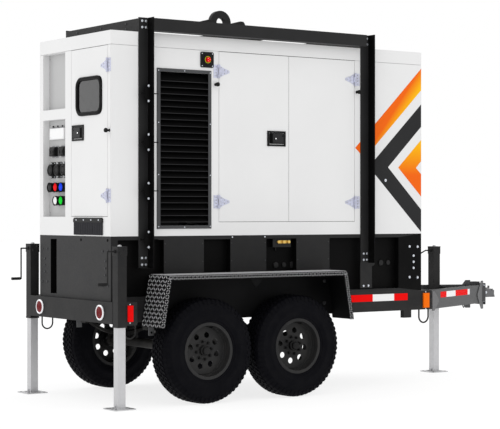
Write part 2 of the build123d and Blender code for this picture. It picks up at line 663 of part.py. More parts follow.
def hinge_leaf(x_pin, direction, z):
    """The leaf on the fixed side, with its two outer knuckles."""
    y1 = -HALF
    y0 = y1 - STRAP_THICK
    h = HINGE_HEIGHT / 2
    x0 = x_pin - direction * (HINGE_R + 2)
    x1 = x0 - direction * HINGE_LEAF
    leaf = block(x0, x1, y0, y1, z - h, z + h)
    pin_y = -HALF - HINGE_OUT
    for z0, z1 in ((z - h, z - h * 0.45 - 1), (z + h * 0.45 + 1, z + h)):
        leaf += rod_z(z0, z1, x_pin, pin_y, HINGE_R)
        leaf += block(x_pin, x0 - direction, pin_y - 2, pin_y + 2, z0, z1)
        leaf += block(x0, x0 - direction * 4, pin_y - 2, y0 + 1, z0, z1)
    return leaf


def pan(x0, x1, z0, z1):
    """Door skin with its edges folded in, standing in the side wall."""
    y0 = -HALF
    door = block(x0, x1, y0, y0 + DOOR_DEPTH, z0, z1)
    return door - block(x0 + 3, x1 - 3, y0 + SHEET, y0 + DOOR_DEPTH + 1, z0 + 3, z1 - 3)


HINGE_ROWS = (DOOR_SILL + 159.0, WALL_TOP - 158.0)
DOOR_SPLIT = (DOOR_START + DOOR_END) / 2


def side_doors():
    z0 = DOOR_SILL + GAP
    z1 = WALL_TOP - GAP
    rear = pan(DOOR_START + GAP, DOOR_SPLIT - GAP / 2, z0, z1)
    front = pan(DOOR_SPLIT + GAP / 2, DOOR_END - GAP, z0, z1)
    rear_set = [rear] + [strap(DOOR_START, 1, z) for z in HINGE_ROWS]
    front_set = [front] + [strap(DOOR_END, -1, z) for z in HINGE_ROWS]
    node("side_door_right_rear", *rear_set)
    node("side_door_right_front", *front_set)
    node("side_door_left_rear", *[other_side(s) for s in rear_set])
    node("side_door_left_front", *[other_side(s) for s in front_set])

    length, height = LATCH_SIZE
    cx = DOOR_SPLIT - LATCH_INSET
    y1 = -HALF - 1
    paddle = block(cx - length / 2, cx + length / 2, y1 - LATCH_OUT, y1,
                   LATCH_Z - height / 2, LATCH_Z + height / 2)
    paddle += rod_x(cx - length / 2 + 8, cx + length / 2 - 8, y1 - LATCH_OUT / 2,
                    LATCH_Z + height / 2, LATCH_OUT / 2)
    node("latch_right", paddle)
    node("latch_left", other_side(paddle))


REAR_DOOR_Y = (-(HALF - REAR_DOOR_EDGE), HALF - COLUMN_EDGE - RECESS_WIDTH - REAR_DOOR_POST)
RECESS_Y = (HALF - COLUMN_EDGE - RECESS_WIDTH, HALF - COLUMN_EDGE)


def rear_wall():
    s = SHEET
    wall = block(0, s, -HALF + s, HALF - s, BASE, WALL_TOP - 1)
    y0, y1 = REAR_DOOR_Y
    wall -= block(-1, s + 1, y0 - GAP, y1 + GAP, REAR_DOOR_SILL - GAP, WALL_TOP)
    for z0, z1 in (RECESS_LOW, RECESS_UP):
        wall -= block(-1, s + 1, RECESS_Y[0], RECESS_Y[1], z0, z1)
    wall -= block(-1, s + 1, CURTAIN_Y[0] + 12, CURTAIN_Y[1] - 12, CURTAIN_Z[0] + 6,
                  CURTAIN_Z[1] - 4)
    trays = []
    for z0, z1 in (RECESS_LOW, RECESS_UP):
        tray = block(s, RECESS_DEPTH + s, RECESS_Y[0] - s, RECESS_Y[1] + s, z0 - s, z1 + s)
        tray -= block(s - 1, RECESS_DEPTH, RECESS_Y[0], RECESS_Y[1], z0, z1)
        trays.append(tray)
    box_mid = (RECESS_Y[0] + RECESS_Y[1]) / 2 + 10
    trays[0] += block(RECESS_DEPTH - 26, RECESS_DEPTH + 1, box_mid - 120, box_mid + 120,
                      BASE + 762, BASE + 850)
    node("rear_wall", wall, *trays)

    strips = []
    count = 6
    width = (CURTAIN_Y[1] - CURTAIN_Y[0]) / count
    for i in range(count):
        a = CURTAIN_Y[0] + width * i + 1
        strips.append(block(-9, -5, a, a + width - 2, CURTAIN_Z[0], CURTAIN_Z[1] - 24))
    node("cable_curtain", *strips)


SOCKET_ROWS = {"duplex": BASE + 662.0, "twist": BASE + 518.0, "cam_up": BASE + 380.0,
               "cam_low": BASE + 274.0}
TWIST_R = 47.0
CAM_R = 37.0
LID_THICK = 4.0
SOCKET_FACE = RECESS_DEPTH - 32.0


def socket_columns(count, pitch):
    mid = (RECESS_Y[0] + RECESS_Y[1]) / 2
    return [mid + pitch * (i - (count - 1) / 2) for i in range(count)]


def sockets():
    fixed = []
    z = SOCKET_ROWS["duplex"]
    for i, y in enumerate(socket_columns(2, 150)):
        fixed.append(block(SOCKET_FACE, RECESS_DEPTH, y - 45, y + 45, z - 34, z + 40))
        x1 = SOCKET_FACE - 0.5
        lid = block(x1 - LID_THICK, x1, y - 43, y + 43, z - 32, z + 30)
        lid += rod_y(y - 36, y + 36, x1 - LID_THICK / 2, z + 30, LID_THICK / 2)
        node("duplex_lid_%d" % (i + 1), lid)
    z = SOCKET_ROWS["twist"]
    for i, y in enumerate(socket_columns(3, 106)):
        flange = block(RECESS_DEPTH - 6, RECESS_DEPTH, y - 36, y + 36, z - 64, z + 64)
        fixed.append(flange + rod_x(SOCKET_FACE, RECESS_DEPTH, y, z, TWIST_R))
        x1 = SOCKET_FACE - 0.5
        cover = rod_x(x1 - LID_THICK, x1, y, z, TWIST_R - 2)
        cover += block(x1 - LID_THICK, x1, y - 16, y + 16, z + TWIST_R - 9, z + TWIST_R - 2)
        cover += rod_y(y - 12, y + 12, x1 - LID_THICK / 2, z + TWIST_R - 2, LID_THICK / 2)
        node("twist_lid_%d" % (i + 1), cover)
    for row, count in (("cam_up", 3), ("cam_low", 2)):
        z = SOCKET_ROWS[row]
        columns = socket_columns(3, 91)
        for y in columns[:count]:
            fixed.append(rod_x(SOCKET_FACE - 4, RECESS_DEPTH, y, z, CAM_R))
    node("power_sockets", *fixed)


def on_rear_wall(piece, pin_y):
    """A hinge piece made for the right side, laid on the rear wall with its pin at pin_y."""
    turned = mirror(Rot(0, 0, 90) * piece, about=Plane.YZ)
    return Pos(HALF, pin_y, 0) * turned


def rear_door():
    y0, y1 = REAR_DOOR_Y
    z0 = REAR_DOOR_SILL
    z1 = WALL_TOP - GAP
    door = block(0, DOOR_DEPTH, y0, y1, z0, z1)
    door -= block(SHEET, DOOR_DEPTH + 1, y0 + 3, y1 - 3, z0 + 3, z1 - 3)
    wy0, wy1 = y0 + WINDOW_INSET, y1 - WINDOW_INSET
    wz0, wz1 = WINDOW_Z
    cut = Pos(0, (wy0 + wy1) / 2, (wz0 + wz1) / 2) * Box(20, wy1 - wy0, wz1 - wz0)
    cut = fillet(cut.edges().filter_by(Axis.X), WINDOW_CORNER)
    pane = Pos(2, (wy0 + wy1) / 2, (wz0 + wz1) / 2) * Box(4, wy1 - wy0 - 2, wz1 - wz0 - 2)
    pane = fillet(pane.edges().filter_by(Axis.X), WINDOW_CORNER - 1)
    node("door_window", pane)

    length, height = LATCH_SIZE
    cy = y1 - REAR_LATCH_INSET
    top = REAR_LATCH_Z + height / 2
    paddle = block(-1 - LATCH_OUT, -1, cy - length / 2, cy + length / 2, top - height, top)
    paddle += rod_y(cy - length / 2 + 8, cy + length / 2 - 8, -1 - LATCH_OUT / 2, top,
                    LATCH_OUT / 2)
    node("latch_rear", paddle)
    pin_y = y0 - GAP
    rows = (REAR_DOOR_SILL + 155.0, WALL_TOP - 152.0)
    straps = [on_rear_wall(strap(0, 1, z), pin_y) for z in rows]
    node("rear_door", door - cut, *straps)
    return [on_rear_wall(hinge_leaf(0, 1, z), pin_y) for z in rows]


def housing():
    right = side_wall()
    node("side_walls", right, other_side(right))
    grille = louvre()
    node("louvres", grille, other_side(grille))
    s = SHEET
    roof = block(0, HOUSING_LENGTH, -HALF, HALF, WALL_TOP + 1, ROOF_TOP)
    roof -= block(s, HOUSING_LENGTH - s, -HALF + s, HALF - s, WALL_TOP, ROOF_TOP - s)
    roof -= rod_z(ROOF_TOP - s - 1, ROOF_TOP + 1, EXHAUST_X, EXHAUST_Y, EXHAUST_R + 8)
    node("roof", roof)

    front = block(HOUSING_LENGTH - s, HOUSING_LENGTH, -HALF + s, HALF - s, BASE, WALL_TOP - 1)
    oy = HALF - 130
    oz0 = BASE + 250
    oz1 = WALL_TOP - 160
    front -= block(HOUSING_LENGTH - s - 1, HOUSING_LENGTH + 1, -oy, oy, oz0, oz1)
    count = 16
    pitch = (oz1 - oz0) / count
    for i in range(count):
        z = oz0 + pitch * i
        blade = [(-oy - 1, z), (oy + 1, z), (oy + 1, z + 18), (-oy - 1, z + 18)]
        front += prism_yz(blade, HOUSING_LENGTH - s, HOUSING_LENGTH)
    node("front_wall", front)

    leaves = [hinge_leaf(DOOR_START, 1, z) for z in HINGE_ROWS]
    leaves += [hinge_leaf(DOOR_END, -1, z) for z in HINGE_ROWS]
    rear_leaves = rear_door()
    node("hinge_leaves", *both_sides(*leaves), *rear_leaves)

    cx = DOOR_START - STOP_INSET
    cz = BASE + STOP_HEIGHT
    half = STOP_SIZE / 2
    plate = block(cx - half, cx + half, -HALF - 8, -HALF, cz - half, cz + half)
    plate = fillet(plate.edges().filter_by(Axis.Y), 14)
    collar = rod_y(-HALF - 16, -HALF - 8, cx, cz, 34)
    well = rod_y(-HALF - 17, -HALF - 2, cx, cz, 22)
    node("stop_switch_box", plate + collar - well)
    node("stop_button", rod_y(-HALF - 30, -HALF - 17.5, cx, cz, 19)
         + rod_y(-HALF - 18, -HALF - 9, cx, cz, 9))


# ------------------------------------------------------------------ lifting cage
def post(x):
    """Angle post: one leg on the housing side, one standing out at its front edge."""
    y0 = -HALF - POST_WALL
    flat = block(x, x + POST_LEG, y0, -HALF, POST_FOOT, POST_TOP)
    rib = block(x + POST_LEG - POST_WALL, x + POST_LEG, -HALF - POST_LEG, -HALF,
                POST_FOOT, POST_TOP)
    return flat + rib


def open_beam(x0, x1, y0, y1, z0, z1, open_side):
    """Channel: a hollow box with one face taken away."""
    w = POST_WALL
    beam = block(x0, x1, y0, y1, z0, z1)
    if open_side == "inward":
        low = min(y0, y1) + w
        return beam - block(x0 - 1, x1 + 1, low, max(y0, y1) + 1, z0 + w, z1 - w)
    return beam - block(x0 + w, x1 + 1, y0 - 1, y1 + 1, z0 + w, z1 - w)


def cage():
    posts = [post(POST_REAR), post(POST_FRONT)]
    foot = block(POST_REAR - 10, POST_REAR + POST_LEG + 14, -HALF - 60, -HALF + 0,
                 POST_FOOT - 8, POST_FOOT)
    base = block(POST_FRONT - 4, POST_FRONT + 119, -HALF - 8, -HALF, BASE - 451, POST_FOOT)

    z0 = BEAM_LOW
    z1 = BEAM_LOW + BEAM_HEIGHT
    y_out = -HALF - POST_LEG
    side = open_beam(POST_REAR + POST_LEG, POST_FRONT, y_out, -HALF, z0, z1, "inward")
    across = [open_beam(x, x + POST_LEG, -HALF, HALF, z0, z1, "forward")
              for x in (POST_REAR, POST_FRONT)]
    mid = (POST_REAR + POST_FRONT + POST_LEG) / 2
    middle = open_beam(mid - 50, mid + 50, -HALF, HALF, z0, z1, "forward")
    node("cage_beams", side, other_side(side), *across, middle)

    half_eye = EYE_THICK / 2
    eye = rod_y(-half_eye, half_eye, mid, EYE_Z, EYE_RADIUS)
    foot_points = [(mid - 216, z1), (mid - 216, z1 + 86), (mid - 99, z1 + 116),
                   (mid - 99, EYE_Z), (mid + 99, EYE_Z), (mid + 112, z1 + 94),
                   (mid + 200, z1 + 117), (mid + 228, z1 + 115), (mid + 244, z1 + 96),
                   (mid + 244, z1)]
    eye += prism_xz(foot_points, -half_eye, half_eye)
    eye -= rod_y(-half_eye - 1, half_eye + 1, mid, EYE_Z, EYE_HOLE)
    eye -= block(mid - 300, mid + 300, -half_eye - 1, half_eye + 1, z0, z1)
    node("lifting_eye", eye)

    brackets = []
    leg_x = POST_REAR + POST_LEG - POST_WALL
    for i in range(4):
        z = BRACKET_FIRST + BRACKET_PITCH * i
        tab = [(leg_x, z + 78), (leg_x, z - 78), (leg_x - 30, z - 70), (leg_x - 54, z - 8),
               (leg_x - 54, z + 8), (leg_x - 30, z + 70)]
        brackets.append(prism_xz(tab, -HALF - 52, -HALF - 46))
        brackets.append(rod_x(leg_x - 84, leg_x - 56, -HALF - 49, z, 4)
                        + rod_x(leg_x - 86, leg_x - 76, -HALF - 49, z, 9))
        brackets.append(rod_x(leg_x + POST_WALL, leg_x + 68, -HALF - 49, z, 4))
    node("cage_posts", *both_sides(*posts, foot, base, *brackets))


# ----------------------------------------------------------------- inner workings
FLAP_PIN = 2.5
FLAP_PIN_OUT = 8.0            # rain flap's pin, outside the pipe
EXHAUST_X = 1690.0
EXHAUST_Y = 200.0
EXHAUST_R = 45.0
EXHAUST_TOP = ROOF_TOP + 214.0
SHAFT_Z = BASE + 520.0


def engine():
    x0 = 1560.0
    block_body = block(x0, x0 + 820, -190, 190, SHAFT_Z - 170, SHAFT_Z + 330)
    sump = block(x0 + 80, x0 + 700, -150, 150, SHAFT_Z - 330, SHAFT_Z - 170)
    block_body -= block(x0 - 1, x0 + 790, -150, 150, SHAFT_Z - 140, SHAFT_Z + 180)
    cover = block(x0 + 60, x0 + 760, -120, 120, SHAFT_Z + 330, SHAFT_Z + 430)
    bell = rod_x(x0 - 110, x0, 0, SHAFT_Z, 250) - rod_x(x0 - 111, x0 + 1, 0, SHAFT_Z, 215)
    air_filter = rod_x(x0 + 120, x0 + 520, -290, SHAFT_Z + 300, 95)
    filters = [rod_z(SHAFT_Z - 120, SHAFT_Z + 60, x0 + 300 + 130 * i, -240, 48) for i in range(2)]
    case = rod_x(x0 - 760, x0 - 110, 0, SHAFT_Z, 250)
    case += block(x0 - 700, x0 - 300, -180, 180, SHAFT_Z + 200, SHAFT_Z + 400)
    case -= block(x0 - 690, x0 - 310, -170, 170, SHAFT_Z + 260, SHAFT_Z + 401)
    node("alternator", case - rod_x(x0 - 740, x0 - 109, 0, SHAFT_Z, 190))
    feet = [block(x, x + 120, y - 60, y + 60, BASE, BASE + 190)
            for x in (x0 - 620, x0 + 560) for y in (-200, 200)]

    fan_x = x0 + 820 + 130
    radiator_x = fan_x + 120
    core = block(radiator_x + 20, radiator_x + 60, -420, 420, BASE + 150, WALL_TOP - 130)
    header = block(radiator_x, radiator_x + 90, -430, 430, WALL_TOP - 130, WALL_TOP - 90)
    node("radiator", core + header)
    blades = rod_x(fan_x, fan_x + 40, 0, SHAFT_Z + 80, 70)
    for i in range(8):
        blade = Pos(fan_x + 20, 0, SHAFT_Z + 80) * Rot(45 * i, 0, 0) * Pos(0, 0, 180)
        blades += blade * Rot(0, 0, 30) * Box(8, 90, 260)
    node("cooling_fan", blades)
    shaft = rod_x(x0 + 820, fan_x - 1, 0, SHAFT_Z + 80, 30)
    node("engine", block_body + sump + cover + bell, air_filter, *filters, *feet, shaft)

    muffler_z = ROOF_TOP - 260
    muffler = rod_x(EXHAUST_X - 200, EXHAUST_X + 600, EXHAUST_Y, muffler_z, 120)
    muffler -= rod_x(EXHAUST_X - 190, EXHAUST_X + 601, EXHAUST_Y, muffler_z, 112)
    flap_z = EXHAUST_TOP - 22
    muffler += rod_z(muffler_z + 100, flap_z - 2, EXHAUST_X, EXHAUST_Y, EXHAUST_R)
    muffler -= rod_z(muffler_z + 60, EXHAUST_TOP, EXHAUST_X, EXHAUST_Y, EXHAUST_R - 4)
    edge = EXHAUST_X + EXHAUST_R
    for side in (-1, 1):
        y0 = EXHAUST_Y + side * 13
        y1 = EXHAUST_Y + side * 17
        muffler += block(edge - 3, edge + 14, y0, y1, flap_z - 24, flap_z - 3)
        muffler += block(edge + 5.5, edge + 14, y0, y1, flap_z - 4, flap_z + 5)
    pin_x = edge + FLAP_PIN_OUT
    muffler += rod_y(EXHAUST_Y - 17, EXHAUST_Y + 17, pin_x, flap_z, FLAP_PIN)
    node("muffler", muffler)
    flap = rod_z(flap_z, flap_z + 6, EXHAUST_X, EXHAUST_Y, EXHAUST_R + 6)
    for side in (-1, 1):
        y0 = EXHAUST_Y + side * 12
        flap -= block(edge - 1, edge + 10, y0, y0 + side * 8, flap_z - 1, flap_z + 7)
    flap += block(edge + 2, edge + 34, EXHAUST_Y - 12, EXHAUST_Y + 12, flap_z, flap_z + 22)
    flap += rod_y(EXHAUST_Y - 12, EXHAUST_Y + 12, pin_x, flap_z, 5)
    flap -= rod_y(EXHAUST_Y - 13, EXHAUST_Y + 13, pin_x, flap_z, FLAP_PIN + RUNNING)
    node("rain_flap", flap)

    y_mid = (REAR_DOOR_Y[0] + REAR_DOOR_Y[1]) / 2
    node("controller", block(70, 190, y_mid - 180, y_mid + 180, BASE + 880, BASE + 1250))
    node("battery", block(500, 700, -420, -150, BASE + 20, BASE + 240))


chassis()
rear_bumper()
hitch()
jacks()
wheels()
suspension()
fenders()
base_tank()
rear_wall()
sockets()
housing()
side_doors()
cage()
engine()

if __name__ == "__main__":
    for name, solids in PIECES.items():
        moved = [Pos(-X_MIDDLE, 0, 0) * solid for solid in solids]
        export_step(Compound(children=moved), "parts/" + name + ".step")
    print(len(PIECES), "nodes; middle at", round(X_MIDDLE, 2))
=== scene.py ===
"""Towable diesel generator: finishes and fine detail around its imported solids.

Details are drawn in millimetres from the housing: X from its rear face towards the
hitch, Y from its centre plane, Z from its floor.  A Shape turns them into metres in
the frame's own place.
"""

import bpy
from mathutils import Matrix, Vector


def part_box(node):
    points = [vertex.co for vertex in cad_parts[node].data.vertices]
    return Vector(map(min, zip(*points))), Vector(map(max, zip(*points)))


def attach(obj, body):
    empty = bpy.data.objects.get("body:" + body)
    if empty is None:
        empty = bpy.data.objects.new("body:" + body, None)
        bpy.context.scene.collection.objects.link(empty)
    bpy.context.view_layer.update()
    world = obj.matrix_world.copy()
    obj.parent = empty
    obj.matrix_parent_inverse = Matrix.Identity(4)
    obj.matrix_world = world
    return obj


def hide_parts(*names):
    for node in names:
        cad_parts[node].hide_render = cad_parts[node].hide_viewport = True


bl_info = {
    "name": "Towable diesel generator",
    "version": (1, 0, 0),
    "blender": (4, 5, 0),
    "location": "View3D > Sidebar > Generator",
    "description": "Finishes and detail for a towable diesel generator",
    "category": "Object",
}

import math
import random

import bpy
from bpy.props import FloatProperty, FloatVectorProperty, IntProperty, PointerProperty
from mathutils import Matrix, Vector

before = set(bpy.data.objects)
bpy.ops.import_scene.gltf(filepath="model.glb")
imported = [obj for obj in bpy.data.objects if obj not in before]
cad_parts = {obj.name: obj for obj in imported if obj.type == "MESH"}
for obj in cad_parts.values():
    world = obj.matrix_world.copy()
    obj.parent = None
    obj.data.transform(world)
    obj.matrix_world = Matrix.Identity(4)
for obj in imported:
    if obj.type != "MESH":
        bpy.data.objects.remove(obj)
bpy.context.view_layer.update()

ROOF_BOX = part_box("roof")
REAR = ROOF_BOX[0].x
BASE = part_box("front_wall")[0].z
HALF = ROOF_BOX[1].y * 1000
LENGTH = (ROOF_BOX[1].x - REAR) * 1000
TO_FRAME = Matrix.Translation((REAR, 0, BASE)) @ Matrix.Scale(0.001, 4)
GROUND = -BASE * 1000
RECESS_BACK = 55.0
HUB_FACE = 22.0          # wheel disc's outer face, from the wheel's middle plane
TANK_BOLT = 15.0         # across the flats of the tank's corner bolts
REARWARD, RIGHTWARD, UPWARD = (-1, 0, 0), (0, -1, 0), (0, 0, 1)
SIDES = (("right", -1), ("left", 1))
WHEELS = [(end + "_" + name, side) for end in ("rear", "front") for name, side in SIDES]


def drawn_box(node):
    """A node's lowest and highest corners, in the drawing's millimetres."""
    low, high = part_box(node)
    back = TO_FRAME.inverted()
    return back @ low, back @ high


# ------------------------------------------------------------------ user settings
class GeneratorColours(bpy.types.PropertyGroup):
    """Paint and print colours."""
    housing: FloatVectorProperty(
        name="Housing", description="Paint of the sound-proof housing",
        subtype="COLOR", default=(0.78, 0.78, 0.78), min=0, max=1)
    steel: FloatVectorProperty(
        name="Frame steel", description="Powder coat of the trailer, tank and lifting cage",
        subtype="COLOR", default=(0.0135, 0.0135, 0.0140), min=0, max=1)
    print_light: FloatVectorProperty(
        name="Stripe, light end", description="Yellow end of the printed stripes",
        subtype="COLOR", default=(0.95, 0.52, 0.008), min=0, max=1)
    print_deep: FloatVectorProperty(
        name="Stripe, deep end", description="Orange end of the printed stripes",
        subtype="COLOR", default=(0.86, 0.135, 0.008), min=0, max=1)
    print_dark: FloatVectorProperty(
        name="Dark stripe", description="Charcoal of the printed chevron",
        subtype="COLOR", default=(0.024, 0.024, 0.025), min=0, max=1)


class GeneratorSizes(bpy.types.PropertyGroup):
    """Sizes of the detail that a user may want finer or coarser."""
    tread_pitch: FloatProperty(
        name="Tread plate pitch", description="Distance between the lugs of the tread plate",
        subtype="DISTANCE", default=0.030, min=0.015, max=0.08)
    tyre_lugs: IntProperty(
        name="Tyre lugs", description="Tread lugs round each tyre",
        default=60, min=24, max=96)
    bolt_head: FloatProperty(
        name="Bolt head", description="Width across the flats of the frame bolts",
        subtype="DISTANCE", default=0.013, min=0.008, max=0.05)


# ------------------------------------------------------------------ shader groups
def new_group(name, inputs, outputs):
    """An empty node group with its sockets, its entry and its exit."""
    group = bpy.data.node_groups.new(name, "ShaderNodeTree")
    for kind, label, value in inputs:
        socket = group.interface.new_socket(label, in_out="INPUT", socket_type="NodeSocket" + kind)
        socket.default_value = value
    for kind, label in outputs:
        group.interface.new_socket(label, in_out="OUTPUT", socket_type="NodeSocket" + kind)
    return group, group.nodes.new("NodeGroupInput"), group.nodes.new("NodeGroupOutput")


class Wires:
    """Short ways to add and join nodes in one tree."""

    def __init__(self, tree):
        self.tree = tree

    def node(self, kind, **values):
        made = self.tree.nodes.new("ShaderNode" + kind)
        for key, value in values.items():
            setattr(made, key, value)
        return made

    def join(self, source, target):
        self.tree.links.new(source, target)

    def feed(self, value, socket):
        """Join a socket, or set a plain value."""
        if isinstance(value, bpy.types.NodeSocket):
            self.join(value, socket)
        else:
            socket.default_value = value

    def maths(self, operation, first, second=0.0, clamp=False):
        made = self.node("Math", operation=operation, use_clamp=clamp)
        self.feed(first, made.inputs[0])
        self.feed(second, made.inputs[1])
        return made.outputs[0]

    def ramp(self, value, low, high, to_low=0.0, to_high=1.0):
        made = self.node("MapRange")
        for socket, number in zip(made.inputs, (value, low, high, to_low, to_high)):
            self.feed(number, socket)
        return made.outputs[0]

    def mix(self, factor, first, second, blend="MIX"):
        made = self.node("Mix", data_type="RGBA", blend_type=blend)
        self.feed(factor, made.inputs[0])
        self.feed(first, made.inputs[6])
        self.feed(second, made.inputs[7])
        return made.outputs[2]

    def noise(self, where, scale, detail=3.0, rough=0.5):
        made = self.node("TexNoise")
        self.join(where, made.inputs["Vector"])
        made.inputs["Scale"].default_value = scale
        made.inputs["Detail"].default_value = detail
        made.inputs["Roughness"].default_value = rough
        return made.outputs["Fac"]

    def place(self):
        return self.node("TexCoord").outputs["Object"]

    def bump(self, height, strength, distance, normal=None):
        made = self.node("Bump")
        made.inputs["Strength"].default_value = strength
        made.inputs["Distance"].default_value = distance
        self.join(height, made.inputs["Height"])
        if normal is not None:
            self.join(normal, made.inputs["Normal"])
        return made.outputs[0]


def coated_surface():
    """Paint over sheet or casting: mottle, orange peel, road dust low down, and lighter edges that
    are partly wear and partly a painted highlight.
    """
    group, entry, leave = new_group(
        "Coated surface",
        [("Color", "Colour", (0.5, 0.5, 0.5, 1)), ("Float", "Roughness", 0.4),
         ("Float", "Mottle", 0.1), ("Float", "Dust", 0.1), ("Float", "Edge wear and highlight", 0.2)],
        [("Color", "Colour"), ("Float", "Roughness"), ("Vector", "Normal")])
    w = Wires(group)
    where = w.place()
    broad = w.noise(where, 2.2, 4.0)
    fine = w.noise(where, 70.0, 4.0)
    shade = w.ramp(broad, 0.3, 0.7, 1.0, 0.0)
    shade = w.maths("MULTIPLY", shade, entry.outputs["Mottle"])
    colour = w.mix(shade, entry.outputs["Colour"], (0.32, 0.32, 0.33, 1))

    height = w.node("SeparateXYZ")
    w.join(where, height.inputs[0])
    low = w.ramp(height.outputs[2], 0.2, 1.5, 1.0, 0.15)
    dust = w.maths("MULTIPLY", w.ramp(w.noise(where, 9.0, 5.0, 0.6), 0.35, 0.75), low)
    dust = w.maths("MULTIPLY", dust, entry.outputs["Dust"], clamp=True)
    colour = w.mix(dust, colour, (0.30, 0.27, 0.23, 1))

    # Rounded edges are mixed towards a lighter grey: partly worn paint, partly a painted highlight
    # along the edges.
    rounded = w.node("Bevel", samples=4)
    rounded.inputs["Radius"].default_value = 0.0022
    flat = w.node("NewGeometry")
    agree = w.node("VectorMath", operation="DOT_PRODUCT")
    w.join(rounded.outputs[0], agree.inputs[0])
    w.join(flat.outputs["Normal"], agree.inputs[1])
    edge = w.ramp(agree.outputs["Value"], 0.985, 0.90)
    edge = w.maths("MULTIPLY", edge, w.ramp(fine, 0.35, 0.65))
    edge = w.maths("MULTIPLY", edge, entry.outputs["Edge wear and highlight"], clamp=True)
    colour = w.mix(edge, colour, (0.30, 0.30, 0.31, 1))
    w.join(colour, leave.inputs["Colour"])

    rough = w.maths("ADD", entry.outputs["Roughness"], w.ramp(fine, 0.3, 0.7, -0.05, 0.07))
    rough = w.maths("ADD", rough, w.maths("MULTIPLY", dust, 0.35), clamp=True)
    w.join(rough, leave.inputs["Roughness"])
    peel = w.noise(where, 420.0, 2.0)
    w.join(w.bump(peel, 0.10, 0.0006, rounded.outputs[0]), leave.inputs["Normal"])
    return group


def bare_metal():
    """Zinc or plain metal: spangle, fine scratches and a dull bloom."""
    group, entry, leave = new_group(
        "Bare metal",
        [("Color", "Colour", (0.6, 0.6, 0.6, 1)), ("Float", "Roughness", 0.35),
         ("Float", "Spangle size", 90.0), ("Float", "Spangle", 0.15)],
        [("Color", "Colour"), ("Float", "Roughness"), ("Vector", "Normal")])
    w = Wires(group)
    where = w.place()
    cells = w.node("TexVoronoi")
    w.join(where, cells.inputs["Vector"])
    w.join(entry.outputs["Spangle size"], cells.inputs["Scale"])
    tone = w.node("SeparateColor")
    w.join(cells.outputs["Color"], tone.inputs[0])
    grain = w.maths("MULTIPLY", tone.outputs[0], entry.outputs["Spangle"], clamp=True)
    bloom = w.maths("MULTIPLY", w.noise(where, 12.0, 5.0, 0.6), 0.25)
    dark = w.maths("ADD", grain, bloom, clamp=True)
    w.join(w.mix(dark, entry.outputs["Colour"], (0.28, 0.28, 0.29, 1)), leave.inputs["Colour"])
    rough = w.maths("ADD", entry.outputs["Roughness"], w.maths("MULTIPLY", dark, 0.35), clamp=True)
    w.join(rough, leave.inputs["Roughness"])
    rounded = w.node("Bevel", samples=4)
    rounded.inputs["Radius"].default_value = 0.0015
    scratch = w.noise(where, 260.0, 3.0, 0.7)
    w.join(w.bump(scratch, 0.12, 0.0004, rounded.outputs[0]), leave.inputs["Normal"])
    return group


def moulded_surface():
    """Rubber and moulded plastic: fine grain and a little dust."""
    group, entry, leave = new_group(
        "Moulded surface",
        [("Color", "Colour", (0.02, 0.02, 0.02, 1)), ("Float", "Roughness", 0.6),
         ("Float", "Grain size", 300.0), ("Float", "Dust", 0.1)],
        [("Color", "Colour"), ("Float", "Roughness"), ("Vector", "Normal")])
    w = Wires(group)
    where = w.place()
    dust = w.ramp(w.noise(where, 14.0, 5.0, 0.65), 0.4, 0.75)
    dust = w.maths("MULTIPLY", dust, entry.outputs["Dust"], clamp=True)
    w.join(w.mix(dust, entry.outputs["Colour"], (0.22, 0.21, 0.20, 1)), leave.inputs["Colour"])
    grain = w.node("TexNoise")
    w.join(where, grain.inputs["Vector"])
    w.join(entry.outputs["Grain size"], grain.inputs["Scale"])
    rough = w.maths("ADD", entry.outputs["Roughness"],
                    w.ramp(grain.outputs["Fac"], 0.3, 0.7, -0.06, 0.08))
    w.join(w.maths("ADD", rough, dust, clamp=True), leave.inputs["Roughness"])
    rounded = w.node("Bevel", samples=4)
    rounded.inputs["Radius"].default_value = 0.002
    w.join(w.bump(grain.outputs["Fac"], 0.2, 0.0008, rounded.outputs[0]), leave.inputs["Normal"])
    return group


GROUPS = {}
FINISHES = {}


def shader_group(maker):
    if maker.__name__ not in GROUPS:
        GROUPS[maker.__name__] = maker()
    return GROUPS[maker.__name__]


def finish(name, maker, colour, inputs=(), **shader):
    """A material whose group feeds colour, roughness and normal to its own shader."""
    material = bpy.data.materials.new(name)
    material.use_nodes = True
    tree = material.node_tree
    principled = tree.nodes["Principled BSDF"]
    worker = tree.nodes.new("ShaderNodeGroup")
    worker.node_tree = shader_group(maker)
    if isinstance(colour, (tuple, list)):
        worker.inputs["Colour"].default_value = (*colour[:3], 1)
    for label, value in inputs:
        worker.inputs[label].default_value = value
    for source, target in (("Colour", "Base Color"), ("Roughness", "Roughness"),
                           ("Normal", "Normal")):
        tree.links.new(worker.outputs[source], principled.inputs[target])
    for key, value in shader.items():
        principled.inputs[key.replace("_", " ")].default_value = value
    FINISHES[name] = material
    return material, worker


def coated(name, colour, rough=0.4, mottle=0.05, dust=0.1, edge=0.15, **shader):
    inputs = (("Roughness", rough), ("Mottle", mottle), ("Dust", dust), ("Edge wear and highlight", edge))
    return finish(name, coated_surface, colour, inputs, **shader)


def metal(name, colour, rough=0.35, spangle=0.15, size=90.0, **shader):
    inputs = (("Roughness", rough), ("Spangle", spangle), ("Spangle size", size))
    shader.setdefault("Metallic", 1.0)
    return finish(name, bare_metal, colour, inputs, **shader)


def moulded(name, colour, rough=0.55, grain=300.0, dust=0.06, **shader):
    inputs = (("Roughness", rough), ("Grain size", grain), ("Dust", dust))
    return finish(name, moulded_surface, colour, inputs, **shader)


